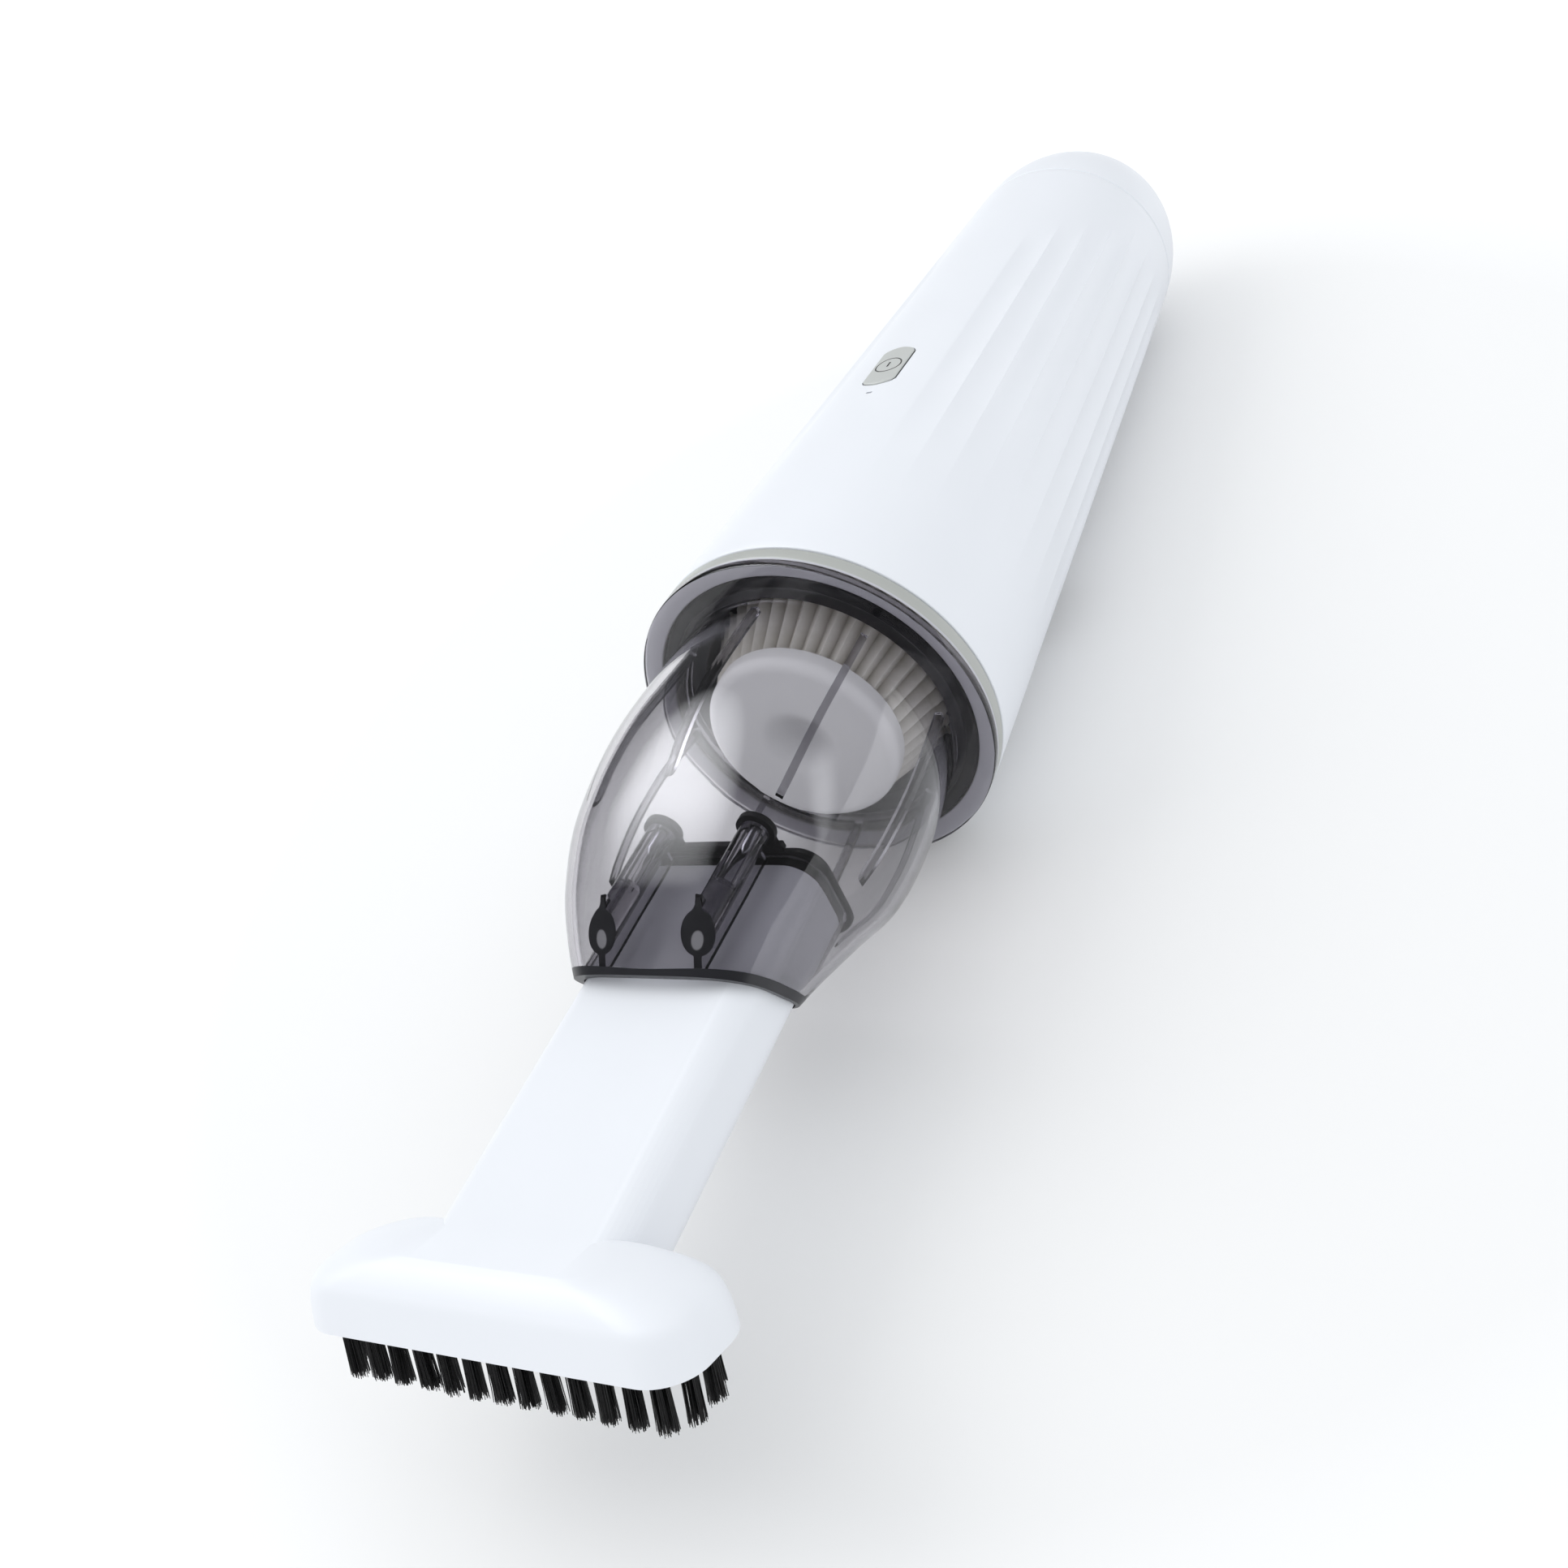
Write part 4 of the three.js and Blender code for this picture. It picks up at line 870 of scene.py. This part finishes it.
# Ribs: eight thin plates of the same smoke plastic, moulded down the inside of the cup. Light is
# caught in them, so they look darker than the wall; their dye is far denser, painted shade for that.
insert_gap = 0.02 * mm
rib_end = -54 * mm
rib_thickness = 1.7 * mm
rib_height = 1.5 * mm
rib_run_out = 0.14


def halved(low, high, beyond, steps=40):
    """Where a test turns true between low and high."""
    for _ in range(steps):
        middle = (low + high) / 2
        low, high = (low, middle) if beyond(middle) else (middle, high)
    return high


def rib(turn):
    """A thin plate that follows the wall's inside and runs out in a rounded end."""
    end = halved(0, 1, lambda share: cup_point(turn, share, cup_wall).y <= rib_end, 10)
    stations = [end * math.sin(math.pi / 2 * k / 24) for k in range(25)]
    across = Vector((math.cos(turn), 0, -math.sin(turn)))

    def place(number, share):
        side = (-rib_thickness, rib_thickness, rib_thickness, -rib_thickness)[number] / 2
        run_out = max(0.0, (share / end - 1) / rib_run_out + 1)
        fade = math.sqrt(max(0.0, 1 - run_out ** 2))
        deep = cup_wall + insert_gap + (0 if number < 2 else 0.1 * mm + rib_height * fade)
        return cup_point(turn, share, deep) + across * side
    return swept(4, stations, place)


rib_count = 8
ribs = gathered(*[rib(2 * math.pi * k / rib_count) for k in range(rib_count)])
finished("cup_ribs", ribs, smoke("smoke_ribs", 520), "cup", [], 30)

# Duct insert: the flat duct that takes the nozzle, with two screw bosses on webs that reach the cup's
# front wall. It is moulded in the same smoke plastic.
duct_wall = 1.4 * mm
duct_top = tube_top + duct_clearance + duct_wall
boss_spread = 12 * mm
boss_height = 11.4 * mm
boss_radius = 3.3 * mm
boss_bore = 1.5 * mm
boss_bore_depth = 16 * mm
web_thickness = 1.6 * mm
web_upper_end = -75.5 * mm
weld_thickness = 0.15 * mm
core_start = 0.3
insert_end = 0.985
duct_margin = duct_clearance + duct_wall


def at_boss(bm, side):
    bmesh.ops.translate(bm, vec=(side * boss_spread, 0, boss_height), verts=bm.verts)
    return bm


def boss_rods(radius, front, back):
    return gathered(*[at_boss(ring(0, radius, front, back, 40), side) for side in (-1, 1)])


def fixings():
    """Both bosses with the webs that stand under and over them."""
    whole = boss_rods(boss_radius, 2 * mouth_place, duct_end)
    web_base = duct_top - duct_wall / 2
    web_length = 2 * boss_radius - mouth_place + duct_end
    upper_length = web_upper_end - mouth_place + 2 * boss_radius
    web_middle = duct_end - boss_radius / 2 - web_length / 2
    for side in (-1, 1):
        web = block((web_thickness, web_length, boss_height - web_base),
                    (side * boss_spread, web_middle, (boss_height + web_base) / 2))
        upper = block((web_thickness, upper_length, 2 * boss_height),
                      (side * boss_spread, web_upper_end - upper_length / 2, boss_height + duct_top))
        whole = fitted(fitted(whole, web, "UNION"), upper, "UNION")
    return whole


insert = plug(tube_half_width + duct_margin, tube_half_depth + duct_margin, tube_corner + duct_margin,
              tube_drop, 2 * mouth_place, duct_end)
insert = fitted(insert, fixings(), "UNION")
core = swept(cup_sides, [blend_share(core_start, insert_end, k / 30) for k in range(31)],
             cup_skin(cup_wall + insert_gap + weld_thickness, lambda turn, level: level))
insert = fitted(insert, core, "INTERSECT")
insert = fitted(insert, passage(), "DIFFERENCE")
insert = fitted(insert, boss_rods(boss_bore, duct_end - boss_bore_depth, duct_end + overrun), "DIFFERENCE")
finished("duct_insert", insert, smoke("smoke_insert", 290), "cup", [], 30)

# Weld: where the bosses, the webs and the duct meet the cup's wall the plastic is fused. The dark seen there
# is painted as two black keyholes with stems that run into a black band round the mouth: painted shade.
pad_half_width = 3.8 * mm
stem_half_width = 0.85 * mm
spike_share = 0.035
foot_fillet = 0.035
foot_flare = 2.2 * mm
pad_columns = (-1, -0.5, 0, 0.5, 1)
pad_rows = 72
screw_shine = 1.35 * mm
screw_shine_drop = 1 * mm


def turn_at(x, share, inset):
    """The turn at which the cup's upper side passes a given x."""
    return halved(-math.pi / 2, math.pi / 2, lambda turn: cup_point(turn, share, inset).x > x)


def pad(side):
    """The black keyhole where one boss and its webs reach the wall: a spike, an oval and a stem."""
    inset = cup_wall + insert_gap
    middle = side * boss_spread

    def height_at(share):
        return cup_point(turn_at(middle, share, inset), share, inset).z

    boss_top = boss_height + boss_radius
    top = halved(core_start, 1, lambda share: height_at(share) <= boss_top) - spike_share
    foot = rim_share(0) - 0.002
    shares = [blend_share(top, foot, k / pad_rows) for k in range(pad_rows + 1)]

    def place(number, share):
        off = (height_at(share) - boss_height) / boss_radius
        oval = pad_half_width * math.sqrt(max(0.0, 1 - off * off))
        taper = stem_half_width * smooth_share(share, top - 0.02, top + spike_share)
        flare = foot_flare * max(0.0, 1 - (foot - share) / foot_fillet) ** 3
        half = max(oval, taper) + flare
        across = (pad_columns + pad_columns[::-1])[number]
        deep = inset + (0 if number < len(pad_columns) else 0.85 * weld_thickness)
        x = middle + across * half
        return cup_point(turn_at(x, share, deep), share, deep)
    return swept(2 * len(pad_columns), shares, place)


def black_part(turn, level):
    return blend_share(rim_share(turn), 1, level)


rim = walled(cup_sides, (0, 0.5, 0.8, 0.95, 1), cup_skin(0, black_part), cup_skin(cup_wall, black_part))
rim = fitted(rim, passage(), "DIFFERENCE")
weld_painted_shade = plastic("weld_painted_shade", (0.016, 0.016, 0.02), 0.1, 0.35, 0.06, 1500, 0.06)
tree = weld_painted_shade.node_tree
x, y, z = own_places(tree, laid_down)
# A pale ring on each keyhole, where a screw sits, is a painted highlight.
off_boss = distance(tree, sums(tree, "SUBTRACT", sums(tree, "ABSOLUTE", x), boss_spread),
                    sums(tree, "SUBTRACT", z, boss_height - screw_shine_drop))
screw_painted_highlight = mapped(tree, off_boss, screw_shine - 0.15 * mm, screw_shine + 0.15 * mm, 1, 0)
recoloured(tree, screw_painted_highlight, (0.3, 0.3, 0.31))
finished("mouth_weld_painted_shade", gathered(pad(-1), pad(1), rim), weld_painted_shade, "cup", [], 30)

# Flap valve: a soft black rubber flap over the duct's inner end. A rubber strip with two ears is
# screwed to the bosses and clamps the flap's upper edge, so that the flap swings into the cup.
flap_front = duct_end + gap
flap_thickness = 1.5 * mm
flap_margin = 2 * mm
flap_back = flap_front + flap_thickness
flap_top = tube_top + duct_clearance + flap_margin
flap = plug(tube_half_width + duct_clearance + flap_margin, tube_half_depth + duct_clearance + flap_margin,
            tube_corner, tube_drop, flap_front, flap_back)
finished("rubber_flap", softened(flap, 0.35 * mm, 3), rubber, "flap", ["flap_valve"])
ear_radius = 4.4 * mm
hinge_strip = 1.7 * mm
clamp_bottom = flap_top + gap
flap_middle = (flap_front + flap_back) / 2
clamp = block((2 * (boss_spread + ear_radius), flap_thickness, hinge_strip),
              (0, flap_middle, clamp_bottom + hinge_strip / 2))
for side in (-1, 1):
    ear = at_boss(ring(0, ear_radius, flap_front, flap_back, 48), side)
    neck = block((1.5 * ear_radius, flap_thickness * 0.96, boss_height - clamp_bottom),
                 (side * boss_spread, flap_middle, (boss_height + clamp_bottom) / 2 + 0.1 * mm))
    clamp = fitted(fitted(clamp, ear, "UNION"), neck, "UNION")
for side in (-1, 1):
    bore = at_boss(ring(0, boss_bore, flap_front - overrun, flap_back + overrun, 32), side)
    clamp = fitted(clamp, bore, "DIFFERENCE")
finished("flap_clamp", clamp, rubber, "cup", ["flap_retainer"])
screw_seat = flap_back + gap
screw_head = 2.7 * mm
head_height = 1.6 * mm
screw_length = 9 * mm
screw_point = 1.2 * mm
screw_core = 1.1 * mm
tip_place = screw_seat - screw_length
cross_width = 0.55 * mm
cross_depth = 1.2 * mm
cross_length = 2.8 * mm
for side, place in ((-1, "left"), (1, "right")):
    outline = [(0, tip_place), (gap, tip_place), (screw_core, tip_place + screw_point),
               (screw_core, screw_seat), (screw_head, screw_seat)]
    for k in range(7):
        turn = math.pi / 2 * k / 6
        outline.append((screw_head * (0.45 + 0.55 * math.cos(turn)),
                        screw_seat + head_height * (0.3 + 0.7 * math.sin(turn))))
    outline.append((0, screw_seat + head_height))
    screw = spun(outline, 48)
    slots = [block((cross_width, cross_depth, cross_length), (0, screw_seat + head_height, 0),
                   Matrix.Rotation(math.pi / 2 * k + 0.5, 4, "Y")) for k in range(2)]
    screw = fitted(screw, fitted(slots[0], slots[1], "UNION"), "DIFFERENCE")
    finished(f"clamp_screw_{place}", at_boss(screw, side), steel, "cup", [f"flap_screw_{place}"])

# Nozzle: one white moulding, a flat tube that pushes into the cup's duct and flares into a hollow
# brush head with a rounded back.
tube_wall = 1.8 * mm
tube_inner_end = -54 * mm
tube_outer_end = -156 * mm
head_half_width = 45.2 * mm
head_half_depth = 13.1 * mm
head_corner = 9.6 * mm
head_height_size = 15 * mm
head_wall = 2 * mm
head_corner_share = 0.92
head_height_shares = (0, 0.3, 0.56, 0.7, 0.83, 0.93, 1)
head_side_shares = (1, 0.99, 0.965, 0.91, 0.81, 0.69, 0.53)
head_depth_shares = (1, 0.99, 0.96, 0.89, 0.78, 0.66, 0.5)
head_place = (0, -160.3 * mm, -9 * mm)
head_lean = math.radians(65.1) - math.pi / 2
head_frame = Matrix.Translation(head_place) @ Matrix.Rotation(head_lean, 4, "X")
head_sides = 144


def head_solid(inset, lower, upper):
    def place(number, share):
        half_width = head_half_width * curve_through(head_side_shares, share) - inset
        half_depth = head_half_depth * curve_through(head_depth_shares, share) - inset
        corner = min(head_corner - inset, half_depth * head_corner_share)
        x, y = rounded_point(number / head_sides, half_width, half_depth, corner)
        height = blend_share(lower, upper, curve_through(head_height_shares, share))
        return head_frame @ Vector((x, y, height))
    return swept(head_sides, [k / 36 for k in range(37)], place)


def above_rim(height):
    size = 6 * head_half_width
    return block((size, size, size), (0, 0, height + size / 2), head_frame)


def tube_solid(inset, past):
    return plug(tube_half_width - inset, tube_half_depth - inset, tube_corner - inset, tube_drop,
                tube_outer_end + inset, tube_inner_end + past)


rim_lift = 0.6 * mm
foot = fitted(tube_solid(0, 0), above_rim(rim_lift), "INTERSECT")
nozzle = fitted(head_solid(0, 0, head_height_size), foot, "UNION")
nozzle = fitted(nozzle, head_solid(head_wall, -overrun, head_height_size - head_wall), "DIFFERENCE")
bore = fitted(tube_solid(tube_wall, overrun), above_rim(rim_lift + tube_wall), "INTERSECT")
nozzle = fitted(nozzle, bore, "DIFFERENCE")
finished("brush_nozzle", nozzle, white_plastic, "brush", ["nozzle"], 28)

# Bristles: 30 tufts of black nylon, each stapled at its root, in four strips that are glued round the
# underside of the head.
bristle, tree, shader = blank_material("black_nylon")
places = added(tree, "ShaderNodeTexCoord", "Object")
streaks = noise(tree, places, 2600, 2)
jet, sheen = (0.001, 0.001, 0.001, 1), (0.006, 0.006, 0.007, 1)
tree.links.new(tinted(tree, mapped(tree, streaks, 0.3, 0.7, 0, 1), jet, sheen), shader.inputs["Base Color"])
shader.inputs["Specular IOR Level"].default_value = 0.3
tree.links.new(mapped(tree, noise(tree, places, 900, 3), 0.3, 0.7, 0.3, 0.5), shader.inputs["Roughness"])
strip_width = 5 * mm
strip_depth = 2.6 * mm
strip_setback = 0.5 * mm
strip_outer = head_wall + 0.9 * mm
tuft_count = 30
tufts_beside_middle = 5
tuft_length = 11.8 * mm
tuft_half_width = 1.9 * mm
tuft_half_depth = 1.35 * mm
tuft_lean = 0.22
strands_per_tuft = 110
strand_flare = 0.3
strand_lean_along = 0.14
strand_lean_out = 0.12
strand_bend_power = 1.6
strand_radius = 0.13 * mm


def spaced_points(half_x, half_y, corner, count):
    """Evenly spaced points round a rounded rectangle, each with the way out from there."""
    straight_x, straight_y, turn_length = half_x - corner, half_y - corner, math.pi / 2 * corner
    legs = [("line", straight_x, (0, -half_y), (1, 0)), ("turn", turn_length, (straight_x, -straight_y), -90),
            ("line", 2 * straight_y, (half_x, -straight_y), (0, 1)),
            ("turn", turn_length, (straight_x, straight_y), 0),
            ("line", 2 * straight_x, (straight_x, half_y), (-1, 0)),
            ("turn", turn_length, (-straight_x, straight_y), 90),
            ("line", 2 * straight_y, (-half_x, straight_y), (0, -1)),
            ("turn", turn_length, (-straight_x, -straight_y), 180),
            ("line", straight_x, (-straight_x, -half_y), (1, 0))]
    total = sum(leg[1] for leg in legs)
    points = []
    for k in range(count):
        travelled = total * k / count
        for kind, length, start, way in legs:
            if travelled <= length:
                break
            travelled -= length
        if kind == "line":
            place = Vector((start[0] + way[0] * travelled, start[1] + way[1] * travelled))
            out = Vector((way[1], -way[0]))
        else:
            angle = math.radians(way) + travelled / corner
            out = Vector((math.cos(angle), math.sin(angle)))
            place = Vector(start) + corner * out
        points.append((place, out))
    return points, total


middle = strip_outer + strip_width / 2
tufts, path_length = spaced_points(head_half_width - middle, head_half_depth - middle, head_corner - middle,
                                   tuft_count)
split = (tufts_beside_middle + 0.5) * path_length / tuft_count
strand_blank = bmesh.new()
bmesh.ops.create_cone(strand_blank, cap_ends=True, segments=4, radius1=0.6, radius2=1, depth=1)
bmesh.ops.translate(strand_blank, vec=(0, 0, -0.5), verts=strand_blank.verts)
bmesh.ops.subdivide_edges(strand_blank, edges=edges_along(strand_blank, 2, 0.5), cuts=3, use_grid_fill=False)
strand_mesh = bpy.data.meshes.new("strand")
strand_blank.to_mesh(strand_mesh)
strand_blank.free()
draw = random.Random(7)
root_height = strip_setback + strip_depth / 2
band_sides = 96
band_corner = 1.25 * mm


def around_head(inset, corner):
    """A ring under the head, at the root or, one level on, at the top of the bristles' strip."""
    def place(number, level):
        x, y = rounded_point(number / band_sides, head_half_width - inset, head_half_depth - inset, corner)
        return head_frame @ Vector((x, y, strip_setback + strip_depth * level))
    return place


half = split - gap / 2
size = 2 * head_half_width
rows = {
    "front": (lambda p: abs(p.x) < split and p.y < 0, (2 * half, size, size), (0, -size / 2, 0)),
    "rear": (lambda p: abs(p.x) < split and p.y > 0, (2 * half, size, size), (0, size / 2, 0)),
    "left": (lambda p: p.x < -split, (size, size, size), (-half - gap - size / 2, 0, 0)),
    "right": (lambda p: p.x > split, (size, size, size), (half + gap + size / 2, 0, 0)),
}
for row, (belongs, trim_size, trim_place) in rows.items():
    band = walled(band_sides, (0, 1), around_head(strip_outer, head_corner - strip_outer),
                  around_head(strip_outer + strip_width, band_corner))
    strip = fitted(band, block(trim_size, trim_place, head_frame), "INTERSECT")
    for place, out in tufts:
        if not belongs(place):
            continue
        along = Vector((-out.y, out.x))
        lean = draw.gauss(0, tuft_lean) * mm
        for k in range(strands_per_tuft):
            reach, turn = math.sqrt(draw.random()), draw.uniform(0, 2 * math.pi)
            spread, depth = reach * math.cos(turn), reach * math.sin(turn)
            root = place + along * spread * tuft_half_width + out * depth * tuft_half_depth
            length = tuft_length + draw.uniform(-0.6, 0.3) * mm
            splay = (along * (spread * strand_flare * mm + lean + draw.gauss(0, strand_lean_along) * mm)
                     + out * (depth * strand_flare * mm + draw.gauss(0, strand_lean_out) * mm))
            before = len(strip.verts)
            strip.from_mesh(strand_mesh)
            strip.verts.ensure_lookup_table()
            for vert in strip.verts[before:]:
                share = -vert.co.z
                x = vert.co.x * math.cos(turn) - vert.co.y * math.sin(turn)
                y = vert.co.x * math.sin(turn) + vert.co.y * math.cos(turn)
                bend = splay * share ** strand_bend_power
                z = root_height - share * (length + root_height)
                vert.co = head_frame @ Vector((root.x + bend.x + x * strand_radius,
                                               root.y + bend.y + y * strand_radius, z))
    finished(f"tufts_{row}", strip, bristle, "brush", [f"bristles_{row}"], 60)

# Inner parts: battery, motor, fan and board are plain parts inside the closed body. They keep the
# CAD's solids and get their real finishes.
alloy = plastic("motor_alloy", (0.4, 0.41, 0.43), 0.12, 0.4, 0.1, 800, 0.08)
shader = node_of(alloy.node_tree, "BSDF_PRINCIPLED")
shader.inputs["Metallic"].default_value = 1.0
sleeve = plastic("battery_sleeve", (0.04, 0.14, 0.36), 0.06, 0.3, 0.05, 900, 0.03)
board_green = plastic("circuit_board", (0.012, 0.1, 0.045), 0.15, 0.4, 0.08, 500, 0.05)
fan_grey = plastic("fan_grey", (0.5, 0.5, 0.52), 0.04, 0.5, 0.05, 1600, 0.06)
inner_finishes = (
    (board_green, ["circuit_board"]),
    (dark_plastic, ["tact_switch", "battery_plate_front", "battery_plate_rear", "bulkhead", "fan_housing"]),
    (sleeve, ["battery_cell_left", "battery_cell_right", "battery_cell_top"]),
    (fan_grey, ["impeller"]),
    (steel, ["motor_shaft", "motor_screw_left", "motor_screw_right"]),
    (alloy, ["motor_can"]),
    (rubber, ["motor_mount"]),
)
for material, nodes in inner_finishes:
    for node in nodes:
        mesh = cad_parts[node].data
        mesh.materials.clear()
        mesh.materials.append(material)

# Stage: a plain white table top. What the camera and the clear cup see of it is lifted to white with
# distance, so that only the object's shadow is left on it.


def seen_rays(tree):
    """The ray kinds, and 1 for those that see: from the camera, through glass or as a reflection."""
    rays = tree.nodes.new("ShaderNodeLightPath")
    beyond = sums(tree, "MAXIMUM", rays.outputs["Is Glossy Ray"], rays.outputs["Is Transmission Ray"])
    return rays, sums(tree, "MAXIMUM", rays.outputs["Is Camera Ray"], beyond)


floor_mesh = bpy.data.meshes.new("table_top")
floor_bm = bmesh.new()
bmesh.ops.create_grid(floor_bm, x_segments=4, y_segments=4, size=6)
floor_bm.to_mesh(floor_mesh)
floor_bm.free()
floor = placed("table_top", floor_mesh)
floor_white, tree, shader = blank_material("table_white")
shader.inputs["Base Color"].default_value = (0.8, 0.8, 0.8, 1)
shader.inputs["Roughness"].default_value = 0.9
shader.inputs["Specular IOR Level"].default_value = 0.1
rays, seen = seen_rays(tree)
off_centre = added(tree, "ShaderNodeVectorMath", "Value", {0: added(tree, "ShaderNodeTexCoord", "Object")},
                   "LENGTH")
near, far = 0.22, 0.42
lift_near, lift_far = 0.08, 0.38
lift = mapped(tree, off_centre, near, far, lift_near, lift_far)
glow = added(tree, "ShaderNodeEmission", "Emission", {"Strength": sums(tree, "MULTIPLY", seen, lift)})
together = added(tree, "ShaderNodeAddShader", "Shader", {0: shader.outputs["BSDF"], 1: glow})
tree.links.new(together, node_of(tree, "OUTPUT_MATERIAL").inputs["Surface"])
floor_mesh.materials.append(floor_white)

# Studio: even white daylight all round. Only reflections show its two lights, a soft patch overhead
# and to the left and an upright strip on the right.
world = bpy.data.worlds.new("studio")
world.use_nodes = True
scene.world = world
tree = world.node_tree
tree.nodes.clear()
rays, seen = seen_rays(tree)
way = added(tree, "ShaderNodeTexCoord", "Generated")


def share_along(direction):
    return added(tree, "ShaderNodeVectorMath", "Value", {0: way, 1: direction}, "DOT_PRODUCT")


def glow_towards(direction, narrow, wide):
    """A soft patch of light, full inside its narrow angle and gone at its wide one."""
    wide, narrow = math.cos(math.radians(wide)), math.cos(math.radians(narrow))
    return mapped(tree, share_along(Vector(direction).normalized()), wide, narrow, 0, 1)


daylight_strength = 1.05
backdrop_glow = 0.12
overhead_glow = 6.5
strip_glow = 2.2
overhead = mapped(tree, glow_towards((-0.45, 0.12, 0.88), 8, 32), 0, 1, backdrop_glow, overhead_glow)
across_strip = sums(tree, "ABSOLUTE", share_along((-0.227, 0.838, -0.495)))
strip_share = mapped(tree, across_strip, 0.03, 0.13, 1, 0)
strip_light = sums(tree, "MULTIPLY", strip_share, glow_towards((0.97, 0.2, 0.1), 22, 38))
reflected = sums(tree, "ADD", overhead, sums(tree, "MULTIPLY", strip_light, strip_glow))
daylight = mapped(tree, seen, 0, 1, daylight_strength, 1)
strength = added(tree, "ShaderNodeMix", "Result",
                 {"Factor": rays.outputs["Is Glossy Ray"], "A": daylight, "B": reflected}, data_type="FLOAT")
backdrop = added(tree, "ShaderNodeBackground", "Background",
                 {"Color": (0.96, 0.98, 1, 1), "Strength": strength})
output = tree.nodes.new("ShaderNodeOutputWorld")
tree.links.new(backdrop, output.inputs["Surface"])

# Lamp: one square softbox high above the left side, a metre wide. It gives the soft shadow and keeps
# out of the reflections.
lamp = bpy.data.lights.new("key_softbox", "AREA")
lamp.shape = "RECTANGLE"
lamp.size = lamp.size_y = 1
lamp.energy = 4.5
lamp.color = (1, 0.99, 0.97)
softbox = placed("key_softbox", lamp)
softbox.location = (-1, -0.05, 1.3)
softbox.rotation_euler = (Vector((0, 0, 0.04)) - softbox.location).to_track_quat("-Z", "Y").to_euler()
softbox.visible_glossy = False
softbox.visible_transmission = False

# Camera: at the photo's viewing angle and about half a metre away, rolled so that the vacuum stands
# nozzle down in the picture.
camera_data = bpy.data.cameras.new("camera")
camera_data.sensor_width = 36
camera_data.lens = 40.99
camera_data.clip_start = 0.01
camera = placed("camera", camera_data)
camera_place = Matrix.Translation((0.2186, -0.31496, 0.2889))
right = Vector((0.8481, 0.3505, -0.3973)).normalized()
back = Vector((0.5286, -0.6091, 0.5912))
back = (back - right * back.dot(right)).normalized()
up = back.cross(right)
camera.matrix_world = camera_place @ Matrix((right, up, back)).transposed().to_4x4()
scene.camera = camera
